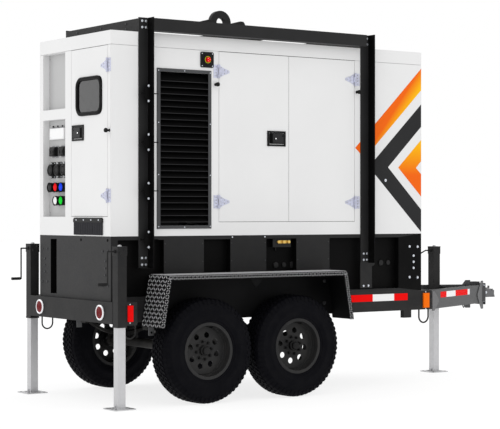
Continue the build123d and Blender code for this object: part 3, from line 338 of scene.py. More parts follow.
def printed(name, colours, along, across, start):
    """A stripe that runs from its deep to its light colour; the weights are per metre."""
    material, worker = coated(name, colours[0], rough=0.5, mottle=0.0, dust=0.0, edge=0.0,
                              Specular_IOR_Level=0.05)
    w = Wires(material.node_tree)
    split = w.node("SeparateXYZ")
    w.join(w.place(), split.inputs[0])
    value = w.maths("MULTIPLY", split.outputs[0], along)
    value = w.maths("ADD", value, w.maths("MULTIPLY", split.outputs[2], across))
    value = w.maths("ADD", value, start, clamp=True)
    colour = w.mix(value, (*colours[0], 1), (*colours[1], 1))
    w.join(colour, worker.inputs["Colour"])
    return material


def make_finishes(colours):
    """Every material, under its own name in FINISHES."""
    steel = tuple(colours.steel)
    satin = {"Specular_IOR_Level": 0.13}
    matt = {"Specular_IOR_Level": 0.05}
    coated("housing_white", tuple(colours.housing), 0.45, 0.05, 0.02, 0.0)
    coated("frame_black", steel, 0.46, 0.02, 0.05, 0.22, **satin)
    # A lighter copy of the frame steel: painted light for the tank's rear panel.
    coated("rear_painted_light_black", tuple(1.7 * c for c in steel), 0.42, 0.02, 0.05, 0.22, **satin)
    coated("tank_black", steel, 0.42, 0.02, 0.03, 0.15, **satin)
    # Darkened frame steel: painted shade for the tank's pockets and the cage posts' outstanding
    # legs and brackets.
    coated("shade_black", tuple(0.22 * c for c in steel), 0.50, 0.0, 0.01, 0.08, **matt)
    coated("louvre_black", (0.0016, 0.0016, 0.0017), 0.6, 0.0, 0.01, 0.0, **matt)
    coated("louvre_edge", (0.020, 0.020, 0.021), 0.5, 0.03, 0.02, 0.1, **matt)
    coated("louvre_frame", (0.060, 0.061, 0.064), 0.5, 0.03, 0.02, 0.2, **satin)
    coated("rim_charcoal", (0.017, 0.017, 0.0175), 0.42, 0.02, 0.04, 0.25, **satin)
    coated("hub_dark", (0.005, 0.005, 0.0055), 0.35, 0.02, 0.03, 0.15, **satin)
    coated("under_black", (0.006, 0.006, 0.006), 0.5, 0.03, 0.10, 0.2, **satin)
    coated("tread_base", (0.003, 0.003, 0.0033), 0.5, 0.02, 0.0, 0.05, **matt)
    # Light grey lugs: partly worn bare metal, partly a painted glint on the raised lozenges.
    coated("tread_lug_wear_and_glint", (0.50, 0.50, 0.51), 0.34, 0.25, 0.0, 0.5)
    coated("tongue_grey", (0.082, 0.083, 0.086), 0.42, 0.05, 0.04, 0.3, **satin)
    coated("gusset_grey", (0.13, 0.131, 0.135), 0.42, 0.05, 0.04, 0.3, **satin)
    coated("hitch_grey", (0.055, 0.055, 0.058), 0.42, 0.05, 0.06, 0.35, **satin)
    coated("coupler_grey", (0.105, 0.105, 0.11), 0.38, 0.06, 0.06, 0.4)
    coated("engine_grey", (0.10, 0.11, 0.12), 0.45, 0.15, 0.1, 0.3)
    coated("alternator_grey", (0.13, 0.14, 0.15), 0.45, 0.12, 0.1, 0.3)
    coated("breaker_white", (0.88, 0.88, 0.88), 0.45, 0.02, 0.0, 0.0)
    # The housing paint darkened: painted shade on the backs of the rear recesses.
    coated("recess_painted_shade", tuple(0.62 * c for c in colours.housing), 0.5, 0.10, 0.04, 0.0)
    coated("tape_red", (0.82, 0.002, 0.002), 0.5, 0.0, 0.0, 0.0, **matt)
    coated("tape_white", (0.84, 0.84, 0.84), 0.35, 0.0, 0.02, 0.0)
    coated("print_dark", tuple(colours.print_dark), 0.5, 0.02, 0.02, 0.0, **matt)
    metal("zinc_hinge", (0.64, 0.66, 0.82), 0.40, 0.30, 90.0, Metallic=0.35)
    metal("zinc_bolt", (0.80, 0.84, 0.90), 0.32, 0.06, 260.0, Metallic=0.6)
    metal("dark_bolt", (0.035, 0.035, 0.037), 0.45, 0.10, 260.0)
    metal("galvanised", (0.60, 0.60, 0.61), 0.42, 0.05, 40.0, Metallic=0.5)
    metal("chrome_ring", (0.90, 0.90, 0.92), 0.16, 0.0, 200.0, Metallic=0.8)
    metal("brass", (0.80, 0.52, 0.10), 0.30, 0.10, 260.0)
    metal("muffler_steel", (0.30, 0.28, 0.26), 0.5, 0.3, 80.0)
    metal("radiator_fins", (0.22, 0.22, 0.23), 0.5, 0.2, 300.0)
    moulded("tyre_rubber", (0.0022, 0.0022, 0.0036), 0.62, 240.0, 0.010, **matt)
    moulded("curtain_rubber", (0.006, 0.006, 0.010), 0.5, 200.0, 0.02, **satin)
    moulded("seal_rubber", (0.004, 0.004, 0.004), 0.5, 260.0, 0.02, **satin)
    moulded("black_plastic", (0.005, 0.005, 0.0055), 0.36, 320.0, 0.02, **satin)
    moulded("grey_black", (0.020, 0.020, 0.021), 0.36, 320.0, 0.02, **satin)
    # Near-black: painted shade in holes, slots and recesses, and the rain flap's own black.
    moulded("shade_and_flap_black", (0.0012, 0.0012, 0.0012), 0.6, 320.0, 0.0, **matt)
    moulded("lining_foam", (0.045, 0.045, 0.048), 0.9, 120.0, 0.05)
    for colour, value in (("red", (0.80, 0.004, 0.008)), ("blue", (0.006, 0.055, 0.85)),
                          ("white", (0.88, 0.88, 0.88)), ("green", (0.002, 0.68, 0.03)),
                          ("yellow", (0.42, 0.40, 0.02)), ("grey", (0.30, 0.30, 0.31)),
                          ("screen", (0.04, 0.09, 0.08))):
        moulded(colour + "_plastic", value, 0.45, 380.0, 0.0, **matt)
    moulded("lens_red", (0.16, 0.003, 0.005), 0.3, 90.0, 0.0, **satin)
    moulded("lens_marker", (0.80, 0.003, 0.003), 0.4, 90.0, 0.0, **matt)
    moulded("lens_amber", (0.92, 0.17, 0.004), 0.4, 90.0, 0.0, **matt)
    moulded("window_glass", (0.010, 0.010, 0.011), 0.10, 20.0, 0.0, Transmission_Weight=0.35,
            Specular_IOR_Level=0.25)
    both = (tuple(colours.print_deep), tuple(colours.print_light))
    x_start = (REAR * 1000 + 2345) / 1000
    slope = 0.958
    rise = 1 / 0.18
    foot = BASE + 0.631 - slope * (REAR + 2.446)
    printed("print_band", both, 1 / 0.62 + rise * slope, -rise,
            -x_start / 0.62 - 0.1 + rise * foot)
    printed("print_arrow", both, 0.0, 1 / 0.30, -(BASE + 0.50) / 0.30)


# --------------------------------------------------------------------- mesh making
BOX_FACES = [(3, 2, 1, 0), (4, 5, 6, 7), (0, 1, 5, 4), (1, 2, 6, 5), (2, 3, 7, 6), (3, 0, 4, 7)]


class Shape:
    """A mesh under construction, in the drawing's millimetres."""

    def __init__(self):
        self.points = []
        self.faces = []
        self.paints = []

    def add(self, points, faces, paint):
        start = len(self.points)
        self.points.extend(Vector(p) for p in points)
        self.faces.extend([tuple(start + i for i in face) for face in faces])
        self.paints.extend([paint] * len(faces))

    def block(self, x0, x1, y0, y1, z0, z1, paint=0):
        self.prism([(x0, y0), (x1, y0), (x1, y1), (x0, y1)], "z", z0, z1, paint)

    def prism(self, outline, axis, low, high, paint=0):
        """An outline in the other two axes, in their order, carried from low to high."""
        spot = {"x": lambda a, b, c: (c, a, b), "y": lambda a, b, c: (a, c, b),
                "z": lambda a, b, c: (a, b, c)}[axis]
        count = len(outline)
        points = [spot(a, b, c) for c in (low, high) for a, b in outline]
        faces = [tuple(range(count)), tuple(range(2 * count - 1, count - 1, -1))]
        for i in range(count):
            j = (i + 1) % count
            faces.append((i, i + count, j + count, j))
        self.add(points, faces, paint)

    def plate(self, place, x0, x1, z0, z1, out0, out1, paint=0):
        """A block on a wall; place maps along, outward and up to the drawing."""
        corners = ((x0, z0), (x1, z0), (x1, z1), (x0, z1))
        self.add([place(a, o, b) for o in (out0, out1) for a, b in corners], BOX_FACES, paint)

    def turned(self, rows, centre, axis, paint=0, sides=32):
        """Rows of (radius, distance along axis) turned round an axis; ends may be on it."""
        axis = Vector(axis).normalized()
        first = axis.orthogonal().normalized()
        if max(abs(axis.x), abs(axis.y)) > 0.9:
            first = Vector(UPWARD)
        second = axis.cross(first)
        centre = Vector(centre)
        points = []
        for i in range(sides):
            angle = 2 * math.pi * (i / sides)
            way = first * math.cos(angle) + second * math.sin(angle)
            points += [centre + way * r + axis * h for r, h in rows]
        n = len(rows)
        faces = []
        for i in range(sides):
            a, b = i * n, ((i + 1) % sides) * n
            for k in range(n - 1):
                faces.append((a + k, a + k + 1, b + k + 1, b + k))
        self.add(points, faces, paint)

    def rod(self, start, end, radius, paint=0, sides=20):
        start, end = Vector(start), Vector(end)
        span = (end - start).length
        rows = [(0.0, 0.0), (radius, 0.0), (radius, span), (0.0, span)]
        self.turned(rows, start, end - start, paint, sides)

    def bolt(self, at, out, across, paint=0):
        """Washer, hexagon head and chamfer, standing on a face whose normal is out."""
        r = across / math.sqrt(3)
        h = across * 0.35
        ring = across * 0.72
        self.turned([(0, 0), (ring, 0), (ring, 2), (0, 2)], at, out, paint, 16)
        self.turned([(r * 0.9, 1), (r, h * 0.75), (r * 0.82, h + 1), (0, h + 1)], at, out,
                    paint, 6)

    def screw(self, at, out, radius, paint=0, slot=None):
        """Domed pan head; slot gives the paint of its recess."""
        self.turned([(radius, 0), (radius, radius * 0.35), (radius * 0.6, radius * 0.6),
                     (0, radius * 0.66)], at, out, paint, 14)
        if slot is not None:
            self.turned([(radius * 0.42, radius * 0.5), (radius * 0.42, radius * 0.7),
                         (0, radius * 0.7)], at, out, slot, 6)

    def tube(self, path, radius, paint=0, sides=12):
        """A round bar along a path of points."""
        path = [Vector(p) for p in path]
        points = []
        for i, spot in enumerate(path):
            before = path[max(i - 1, 0)]
            after = path[min(i + 1, len(path) - 1)]
            way = (after - before).normalized()
            side = way.cross(Vector((0.31, 0.17, 0.94))).normalized()
            up = way.cross(side)
            for k in range(sides):
                angle = 2 * math.pi * k / sides
                points.append(spot + (side * math.cos(angle) + up * math.sin(angle)) * radius)
        faces = []
        for i in range(len(path) - 1):
            for k in range(sides):
                j = (k + 1) % sides
                a = i * sides
                faces.append((a + k, a + j, a + sides + j, a + sides + k))
        last = (len(path) - 1) * sides
        faces.append(tuple(range(sides - 1, -1, -1)))
        faces.append(tuple(last + k for k in range(sides)))
        self.add(points, faces, paint)


def piece(name, shape, body, finishes, bevel=0.8, angle=32):
    """The shape as a Blender object in the frame's place, riding on a CAD body."""
    import bmesh
    mesh = bpy.data.meshes.new(name)
    mesh.from_pydata([TO_FRAME @ p for p in shape.points], [], shape.faces)
    mesh.polygons.foreach_set("material_index", shape.paints)
    for key in finishes:
        mesh.materials.append(FINISHES[key])
    tidy = bmesh.new()
    tidy.from_mesh(mesh)
    bmesh.ops.remove_doubles(tidy, verts=tidy.verts, dist=2e-6)
    bmesh.ops.recalc_face_normals(tidy, faces=tidy.faces)
    tidy.to_mesh(mesh)
    tidy.free()
    mesh.polygons.foreach_set("use_smooth", [True] * len(mesh.polygons))
    mesh.set_sharp_from_angle(angle=math.radians(angle))
    thing = bpy.data.objects.new(name, mesh)
    bpy.context.scene.collection.objects.link(thing)
    if bevel:
        rounding = thing.modifiers.new("Rounded edges", "BEVEL")
        rounding.width = bevel / 1000
        rounding.segments = 2
        rounding.limit_method = "ANGLE"
        rounding.angle_limit = math.radians(angle)
        rounding.harden_normals = True
    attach(thing, body)
    return thing


def paint_node(name, finishes, choose=None):
    """Gives a CAD node its finishes; choose picks one per face from its centre and normal."""
    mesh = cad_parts[name].data
    mesh.materials.clear()
    for key in finishes:
        mesh.materials.append(FINISHES[key])
    if choose is None:
        mesh.polygons.foreach_set("material_index", [0] * len(mesh.polygons))
        return
    back = TO_FRAME.inverted()
    picks = [choose(back @ face.center, face.normal) for face in mesh.polygons]
    mesh.polygons.foreach_set("material_index", picks)


# ------------------------------------------------------------------------ finishes
PLAIN_NODES = {
    "frame_black": ("cage_beams", "lifting_eye", "jack_crank_front", "jack_crank_rear_left",
                    "jack_crank_rear_right"),
    "under_black": ("axles", "leaf_springs"),
    "hitch_grey": ("hitch_channel",),
    "coupler_grey": ("coupler", "coupler_latch"),
    "housing_white": ("roof", "side_walls", "front_wall"),
    "zinc_hinge": ("hinge_leaves",),
    "black_plastic": ("stop_switch_box", "duplex_lid_1", "duplex_lid_2", "twist_lid_1",
                      "twist_lid_2", "twist_lid_3", "cooling_fan", "battery", "controller",
                      "latch_left", "latch_right", "latch_rear", "power_sockets"),
    "red_plastic": ("stop_button",),
    "curtain_rubber": ("cable_curtain",),
    "window_glass": ("door_window",),
    "alternator_grey": ("alternator",),
    "engine_grey": ("engine",),
    "radiator_fins": ("radiator",),
    "muffler_steel": ("muffler",),
    # The rain flap in its own near-black.
    "shade_and_flap_black": ("rain_flap",),
    "tread_base": ("fenders",),
    "galvanised": ("jack_leg_front", "jack_leg_rear_left", "jack_leg_rear_right"),
}


def tank_finish(c, n):
    """Body black, brass ports, painted shade in the pockets and on the sides ahead of 2800 mm, and
    painted light on the rear panel.
    """
    if c.y < -HALF + 17 and abs(c.z + 57) < 13 and 1550 < c.x < 1680 and n.z ** 2 < 0.98:
        return 1
    if abs(n.y) > 0.9 and abs(c.y) < HALF - 20 and c.x > 1:
        return 2
    if abs(n.x) > 0.9 and c.x > 1 and abs(c.y) > HALF - 60.5:
        return 2
    if abs(n.y) > 0.9 and c.x > 2800:
        return 2
    # Rear-facing faces: painted light on the rear panel, painted shade on those set further in.
    if n.x < -0.9:
        return 3 if c.x < 1 else 2
    return 0


def post_finish(c, n):
    """Painted shade on the outstanding legs and their brackets."""
    return 1 if abs(c.y) > HALF + 8.5 and (n.x < -0.5 or abs(c.y) > HALF + 40) else 0


def louvre_finish(c, n):
    """Frame face, the blades' thin front edges, and dark blades."""
    if abs(n.y) > 0.99 and abs(c.y) > HALF + 5.9 and (
            c.x < 432 or c.x > 876 or c.z < 82 or c.z > 1258):
        return 0
    return 2 if abs(n.y) > 0.9 and abs(c.y) > HALF - 6 and 430 < c.x < 880 else 1


def wheel_plane(side):
    """Distance of a wheel's middle plane from the centre plane."""
    low, high = drawn_box("tyre_rear_right")
    return -side * (low.y + high.y) / 2


def frame_finish(c, n):
    """Side rails black, tongue rails grey."""
    return 1 if c.x > LENGTH + 118 and abs(n.y) > 0.5 and c.z > -660 else 0


class GENSET_OT_finishes(bpy.types.Operator):
    """Make the materials and give every CAD node its own"""
    bl_idname = "genset.finishes"
    bl_label = "Finishes"

    def execute(self, context):
        make_finishes(context.scene.genset_colours)
        for key, nodes in PLAIN_NODES.items():
            for node in nodes:
                paint_node(node, [key])
        skin = HALF + 0.1
        for name, side in SIDES:
            for end in ("rear", "front"):
                paint_node("side_door_%s_%s" % (name, end),
                           ["housing_white", "zinc_hinge", "lining_foam"],
                           lambda c, n, s=side: 1 if c.y * s > skin else
                           2 if n.y * s < -0.9 and c.y * s < HALF - 4 else 0)
        paint_node("rear_door", ["housing_white", "zinc_hinge", "lining_foam"],
                   lambda c, n: 1 if c.x < -0.1 else 2 if n.x > 0.9 and 4 < c.x < 20 else 0)
        # Breaker box white, and painted shade on the rear-facing backs of the recesses.
        paint_node("rear_wall", ["housing_white", "breaker_white", "recess_painted_shade"],
                   lambda c, n: 1 if 20 < c.x < 54 and 760 < c.z < 852
                   and abs(c.y - 336) < 121 and abs(n.y) < 0.9
                   else 2 if c.x > 1.6 and n.x < -0.9 else 0)
        paint_node("base_tank", ["tank_black", "brass", "shade_black", "rear_painted_light_black"], tank_finish)
        paint_node("cage_posts", ["frame_black", "shade_black"], post_finish)
        paint_node("trailer_frame", ["frame_black", "tongue_grey"], frame_finish)
        for node in ("rear_bumper", "jack_tubes"):
            paint_node(node, ["frame_black"])
        paint_node("louvres", ["louvre_frame", "louvre_black", "louvre_edge"], louvre_finish)
        paint_node("lamps", ["chrome_ring", "lens_marker", "lens_amber"],
                   lambda c, n: 0 if c.x < 20 and abs(c.y) < 560 else
                   1 if c.x < 200 else 2)
        for key, side in WHEELS:
            low, high = drawn_box("wheel_" + key)
            middle = (low + high) / 2
            hub_face = wheel_plane(side) + side * HUB_FACE

            def part_of_wheel(c, n, middle=middle, side=side, hub_face=hub_face):
                r = math.hypot(c.x - middle.x, c.z - middle.z)
                out = (c.y - hub_face) * side
                if r < 39.5 and out > -9:
                    return 1
                if r < 92 and out < -7.5:
                    return 1
                return 1 if 50 < r < 88 and out > 0.5 else 0
            paint_node("wheel_" + key, ["rim_charcoal", "hub_dark"], part_of_wheel)
            paint_node("tyre_" + key, ["tyre_rubber"])
        return {"FINISHED"}


# --------------------------------------------------------------------------- tyres
def tyre_shape(centre, lugs):
    """Carcass with ribs on its walls, and blocks of tread in six rows."""
    shape = Shape()
    radius, bead = 405.0, 203.0
    crown = radius - 8.0
    rows = [(bead + 1, -88), (bead + 14, -93), (219, -96), (224, -103), (236, -104), (240, -109),
            (262, -114), (266, -116.2), (286, -117.3), (290, -115.8), (312, -115.5),
            (340, -112), (344, -113.5), (362, -109), (378, -103), (388, -97),
            (crown - 1, -84), (crown + 0.5, -40), (crown + 1, 0)]
    rows = rows + [(r, -a) for r, a in reversed(rows[:-1])]
    shape.turned(rows, centre, (0, 1, 0), 0, 96)
    step = 2 * math.pi / lugs
    cx, cy, cz = centre

    def block(angle, across, arc, width, lean, low, high):
        """One tread block: across is its place along the axle, lean its skew."""
        points = []
        for r, shrink in ((low, 1.0), (high, 0.86)):
            for sa, sw in ((-1, -1), (1, -1), (1, 1), (-1, 1)):
                y = across + sw * width / 2 * shrink
                turn = angle + (sa * arc / 2 * shrink + lean * sw * width / 2) / radius
                drop = 0.0 if abs(y) < 84 else (abs(y) - 84) * 0.62
                rr = r - drop - (y / 84) ** 2 * 1.2
                points.append((cx + rr * math.sin(turn), cy + y, cz + rr * math.cos(turn)))
        faces = [(0, 3, 2, 1), (4, 5, 6, 7), (0, 1, 5, 4), (1, 2, 6, 5), (2, 3, 7, 6), (3, 0, 4, 7)]
        shape.add(points, faces, 0)

    pitch = 2 * math.pi * radius / lugs
    for i in range(lugs):
        base = step * i
        for side in (-1, 1):
            block(base + step * 0.25 * side, side * 15, pitch * 0.66, 25, 0.35 * side,
                  crown - 4, radius - 0.4)
            block(base + step * (0.5 + 0.18 * side), side * 47, pitch * 0.62, 30, -0.45 * side,
                  crown - 4, radius - 0.4)
            block(base + step * 0.2 * side, side * 84, pitch * 0.58, 34, 0.25 * side,
                  crown - 8, radius - 0.6)
            # shoulder lug reaching down the wall
            a0 = base + step * 0.2 * side - pitch * 0.29 / radius
            a1 = base + step * 0.2 * side + pitch * 0.29 / radius
            long = i % 2 == 0
            low_r, out = (352, 113.5) if long else (366, 111)
            ring = []
            for a in (a0, a1):
                for r, y in ((radius - 15, 97), (radius - 23, 105), (low_r, out + 2.0),
                             (low_r - 2, out - 3), (radius - 26, 95)):
                    ring.append((cx + r * math.sin(a), cy + side * y, cz + r * math.cos(a)))
            faces = [(k, (k + 1) % 5, (k + 1) % 5 + 5, k + 5) for k in range(5)]
            faces += [(4, 3, 2, 1, 0), (5, 6, 7, 8, 9)]
            shape.add(ring, faces, 0)
    return shape


class GENSET_OT_tyres(bpy.types.Operator):
    """Tyres with tread blocks, shoulder lugs and ribbed walls"""
    bl_idname = "genset.tyres"
    bl_label = "Tyres"

    def execute(self, context):
        lugs = context.scene.genset_sizes.tyre_lugs
        for key, _ in WHEELS:
            low, high = drawn_box("tyre_" + key)
            made = piece("tyre_detail_" + key, tyre_shape((low + high) / 2, lugs), "wheel_" + key,
                         ["tyre_rubber"], bevel=0)
            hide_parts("tyre_" + key)
        return {"FINISHED"}


class GENSET_OT_wheel_trim(bpy.types.Operator):
    """Hub cap, bead rings and valve of each wheel"""
    bl_idname = "genset.wheel_trim"
    bl_label = "Wheel trim"

    def execute(self, context):
        for key, side in WHEELS:
            low, high = drawn_box("wheel_" + key)
            x, z = (low.x + high.x) / 2, (low.z + high.z) / 2
            out = (0, side, 0)
            y = wheel_plane(side)
            face = y + side * HUB_FACE
            at = (x, face, z)
            shape = Shape()
            shape.turned([(24.5, 55.6), (24.5, 57), (17, 58.5), (0, 59)], at, out, 1, 24)
            shape.turned([(38.2, 20), (39.8, 21), (39.8, 25), (38.2, 26)], at, out, 1, 32)
            shape.turned([(204, 65), (219.4, 74), (219.4, 75.9), (214, 75.9), (204, 71)], at, out,
                         0, 72)
            shape.turned([(186, -6), (195.8, 3), (195.8, 20), (193, 20), (190, 2)], at, out, 0, 72)
            turn = math.radians(20)
            valve = Vector((x + 186 * math.sin(turn), face - side * 4, z + 186 * math.cos(turn)))
            shape.rod(valve, valve + Vector((0, side * 34, 0)), 4.2, 1, 12)
            shape.rod(valve + Vector((0, side * 34, 0)), valve + Vector((0, side * 42, 0)), 5, 1,
                      12)
            piece("wheel_trim_" + key, shape, "wheel_" + key, ["rim_charcoal", "hub_dark"],
                  bevel=0.6)
        return {"FINISHED"}


# ------------------------------------------------------------------------- fenders
def tread_lugs(shape, corner, along, across, out, pitch, paint=0):
    """Raised lozenges in alternate directions over a flat strip."""
    corner, along, across, out = (Vector(v) for v in (corner, along, across, out))
    u, v = along.normalized(), across.normalized()
    nu = max(1, round(along.length / pitch))
    nv = max(1, round(across.length / pitch))
    du, dv = along.length / nu, across.length / nv
    for i in range(nu):
        for j in range(nv):
            mid = corner + u * (du * (i + 0.5)) + v * (dv * (j + 0.5))
            turn = 1 if (i + j) % 2 else -1
            long = (u + v * turn).normalized() * min(du, dv) * 0.62
            wide = (u - v * turn).normalized() * min(du, dv) * 0.17
            low = [mid + long, mid + wide, mid - long, mid - wide]
            top = [mid + p * 0.62 + out * 2.2 for p in (long, wide, -long, -wide)]
            faces = [(4, 5, 6, 7)] + [(k, (k + 1) % 4, (k + 1) % 4 + 4, k + 4) for k in range(4)]
            shape.add(low + top, faces, paint)


class GENSET_OT_fender_tread(bpy.types.Operator):
    """Tread plate lugs on the fenders' tops, ends and lips"""
    bl_idname = "genset.fender_tread"
    bl_label = "Fender tread plate"

    def execute(self, context):
        pitch = context.scene.genset_sizes.tread_pitch * 1000
        low, high = drawn_box("fenders")
        out_y = high.y
        top = high.z
        foot = low.z
        x0, x1 = low.x, high.x
        slope = 66.0
        lip = 36.0
        shape = Shape()
        for side in (-1, 1):
            inner = side * (HALF + 8)
            outer = side * out_y
            width = (0, outer - inner, 0)
            tread_lugs(shape, (x0 + slope, inner, top), (x1 - x0 - 2 * slope, 0, 0), width,
                       UPWARD, pitch)
            rear_way = Vector((slope, 0, top - foot))
            tread_lugs(shape, (x0, inner, foot), rear_way, width,
                       Vector((-(top - foot), 0, slope)).normalized(), pitch)
            front_way = Vector((-slope, 0, top - foot))
            tread_lugs(shape, (x1, inner, foot), front_way, width,
                       Vector((top - foot, 0, slope)).normalized(), pitch)
            face = (0, side, 0)
            tread_lugs(shape, (x0 + slope + 8, outer, top - lip), (x1 - x0 - 2 * slope - 16, 0, 0),
                       (0, 0, lip), face, lip / 2)
            tread_lugs(shape, (x0 + 2, outer, foot), rear_way * 0.96, (lip, 0, 0), face, lip / 2)
            tread_lugs(shape, (x1 - lip - 2, outer, foot), front_way * 0.96, (lip, 0, 0), face,
                       lip / 2)
            for x, z in ((x0 + 92, -380), (x0 + 92, -560), (x1 - 92, -380), (x1 - 92, -560),
                         ((x0 + x1) / 2, -330)):
                shape.bolt((x, side * (HALF + 7), z), face, 22, 1)
        # The lugs take a light grey that is partly worn metal and partly a painted glint.
        piece("fender_tread", shape, "chassis", ["tread_lug_wear_and_glint", "dark_bolt"], bevel=0)
        return {"FINISHED"}


# --------------------------------------------------------------------- print and tape
class GENSET_OT_stripes(bpy.types.Operator):
    """Printed stripes near the front of both sides"""
    bl_idname = "genset.stripes"
    bl_label = "Printed stripes"

    def execute(self, context):
        end = LENGTH - 1
        band = [(2345, 718), (2446, 631), (end, 1227), (end, 1413)]
        dark = [(2492, 563), (end, 13), (end, 205), (2700, 562), (end, 915), (end, 1107)]
        arrow = [(2812, 561), (end, 316), (end, 509), (3010, 561), (end, 620), (end, 803)]
        for name, side in SIDES:
            for key, outline, paint in (("band", band, "print_band"),
                                        ("chevron", dark, "print_dark"),
                                        ("arrow", arrow, "print_arrow")):
                shape = Shape()
                shape.prism(outline, "y", side * HALF, side * (HALF + 0.5))
                piece("stripe_%s_%s" % (key, name), shape, "chassis", [paint],
                      bevel=0)
        return {"FINISHED"}


class GENSET_OT_safety_tape(bpy.types.Operator):
    """Red and white reflective tape along the rails and the tongue"""
    bl_idname = "genset.safety_tape"
    bl_label = "Reflective tape"

    def execute(self, context):
        low, high = -566, -507
        for name, side in SIDES:
            shape = Shape()
            y = side * HALF
            for x0, x1, paint in ((2275, 2534, 0), (2534, 2767, 1), (2767, 2918, 0)):
                shape.block(x0, x1, y, y + side * 0.6, low, high, paint)
            tongue_low, tongue_high = 3190.0, 4247.0
            fall = (HALF - 78) / (tongue_high - tongue_low)
            for x0, x1, paint in ((3362, 3480, 0), (3480, 3662, 1), (3662, 3915, 0),
                                  (3915, 3958, 1)):
                line = [(x, side * (HALF - fall * (x - tongue_low) + o))
                        for x, o in ((x0, 0), (x1, 0), (x1, 0.7), (x0, 0.7))]
                shape.prism(line, "z", low + 4, high - 4, paint)
            piece("tape_" + name, shape, "chassis", ["tape_red", "tape_white"],
                  bevel=0)
        return {"FINISHED"}


# -------------------------------------------------------------------- side fittings
def on_side(side):
    return lambda x, out, z: Vector((x, side * (HALF + out), z))


class GENSET_OT_hinges(bpy.types.Operator):
    """Screws, slots and pin caps of the door hinges"""
    bl_idname = "genset.hinges"
    bl_label = "Hinge detail"

    def execute(self, context):
        shape = Shape()
        straps = {}
        for name, side in SIDES:
            place = on_side(side)
            for x, way, end in ((976, 1, "rear"), (2340, -1, "front")):
                strap = straps.setdefault("side_door_%s_%s" % (name, end), Shape())
                for z in (264, 1285):
                    self.leaf(shape, place, x, way, z)
                    self.strap(strap, place, x, way, z)
        pin = -516.0
        rear = lambda x, out, z: Vector((-out, pin + x, z))
        door = straps.setdefault("rear_door", Shape())
        for z in (307, 1291):
            self.leaf(shape, rear, 0, 1, z)
            self.strap(door, rear, 0, 1, z)
        piece("hinge_leaf_trim", shape, "chassis", ["zinc_bolt", "grey_plastic", "zinc_hinge"],
              bevel=0.4)
        for body, made in straps.items():
            piece("hinge_strap_trim_" + body, made, body,
                  ["zinc_bolt", "grey_plastic", "zinc_hinge"], bevel=0.4)
        return {"FINISHED"}

    def leaf(self, shape, place, x, way, z):
        """Screws in the fixed leaf, knuckle seams and the pin's caps."""
        out = place(0, 1, 0) - place(0, 0, 0)
        for dz in (-36, -12, 12, 36):
            shape.turned([(4.6, 0), (4.6, 0.9), (3, 1.2), (0, 1.2)],
                         place(x - way * 27, 2.9, z + dz), out, 1, 14)
        for s in (-1, 1):
            shape.rod(place(x, 9, z + s * 50), place(x, 9, z + s * 54), 5.4, 2, 16)
            shape.screw(place(x - way * 38, 3, z + s * 24), out, 3.4, 0)

    def strap(self, shape, place, x, way, z):
        """Screws and the pressed rib of the strap on the door."""
        out = place(0, 1, 0) - place(0, 0, 0)
        for dx, dz in ((20, 30), (20, -30), (52, 14), (52, -14), (84, 0)):
            shape.turned([(4.4, 0), (4.4, 0.9), (2.6, 1.2), (0, 1.2)],
                         place(x + way * dx, 2.9, z + dz), out, 1, 14)
        rib = [(x + way * 14, z - 8), (x + way * 70, z - 3), (x + way * 70, z + 3),
               (x + way * 14, z + 8)]
        points = [place(a, o, b) for o in (3.0, 5.0) for a, b in rib]
        shape.add(points, BOX_FACES, 2)


class GENSET_OT_latches(bpy.types.Operator):
    """Bezels, paddles and key locks of the three door latches"""
    bl_idname = "genset.latches"
    bl_label = "Door latches"

    def execute(self, context):
        for name, side in SIDES:
            low, high = drawn_box("latch_" + name)
            self.latch("latch_" + name, "side_door_%s_rear" % name, on_side(side),
                       (low.x + high.x) / 2 - 1, (low.z + high.z) / 2 - 2)
        low, high = drawn_box("latch_rear")
        mid = (low.y + high.y) / 2
        self.latch("latch_rear", "rear_door", lambda x, out, z: Vector((-out, mid + x, z)),
                   0, (low.z + high.z) / 2 - 2)
        return {"FINISHED"}

    def latch(self, name, door, place, cx, cz):
        """Bezel on the door, paddle plate and key lock on the latch; cx, cz is its centre."""
        w, h, t = 90, 61, 7.5
        inner_w, inner_h = 73, 47
        out = place(0, 1, 0) - place(0, 0, 0)
        bezel = Shape()
        paddle = Shape()

        def bar(target, a0, a1, b0, b1, o0, o1, paint):
            target.plate(place, cx + a0, cx + a1, cz + b0, cz + b1, o0, o1, paint)
        bar(bezel, -w, w, inner_h, h, 0, t, 0)
        bar(bezel, -w, w, -h, -inner_h, 0, t, 0)
        bar(bezel, -w, -inner_w, -inner_h, inner_h, 0, t, 0)
        bar(bezel, inner_w, w, -inner_h, inner_h, 0, t, 0)
        # The screw slots are near-black: painted shade.
        for a in (-82, 82):
            for b in (-54, 54):
                bezel.screw(place(cx + a, t, cz + b), out, 3.6, 0, 1)
        piece(name + "_bezel", bezel, door, ["black_plastic", "shade_and_flap_black"], bevel=2.4)
        # The finger recess, the paddle's slot and the lock's ring are near-black: painted shade.
        bar(paddle, -68, -42, -38, 40, 6.9, 7.4, 1)
        bar(paddle, -40, 66, -39, 41, 6.9, 9.8, 0)
        bar(paddle, 50, 64, 18, 27, 9.8, 10.3, 1)
        for b in (-30, -34):
            bar(paddle, -34, 62, b, b + 2, 9.8, 11, 0)
        at = place(cx - 12, 9.5, cz)
        paddle.turned([(12, 0), (12, 2.2), (9.5, 3), (9.5, 2), (0, 2)], at, out, 1, 28)
        paddle.turned([(6.5, 1.6), (6.5, 4), (5.5, 5), (0, 5)], at, out, 2, 24)
        piece(name + "_paddle", paddle, name, ["grey_black", "shade_and_flap_black", "chrome_ring"],
              bevel=1.2)


def buffer_stop(shape, at, out):
    """A rubber door stop on its stud."""
    shape.turned([(12, 0), (12, 2), (8, 4), (8, 20), (15, 22), (17, 27), (17, 38), (13, 43),
                  (0, 43)], at, out, 2, 24)


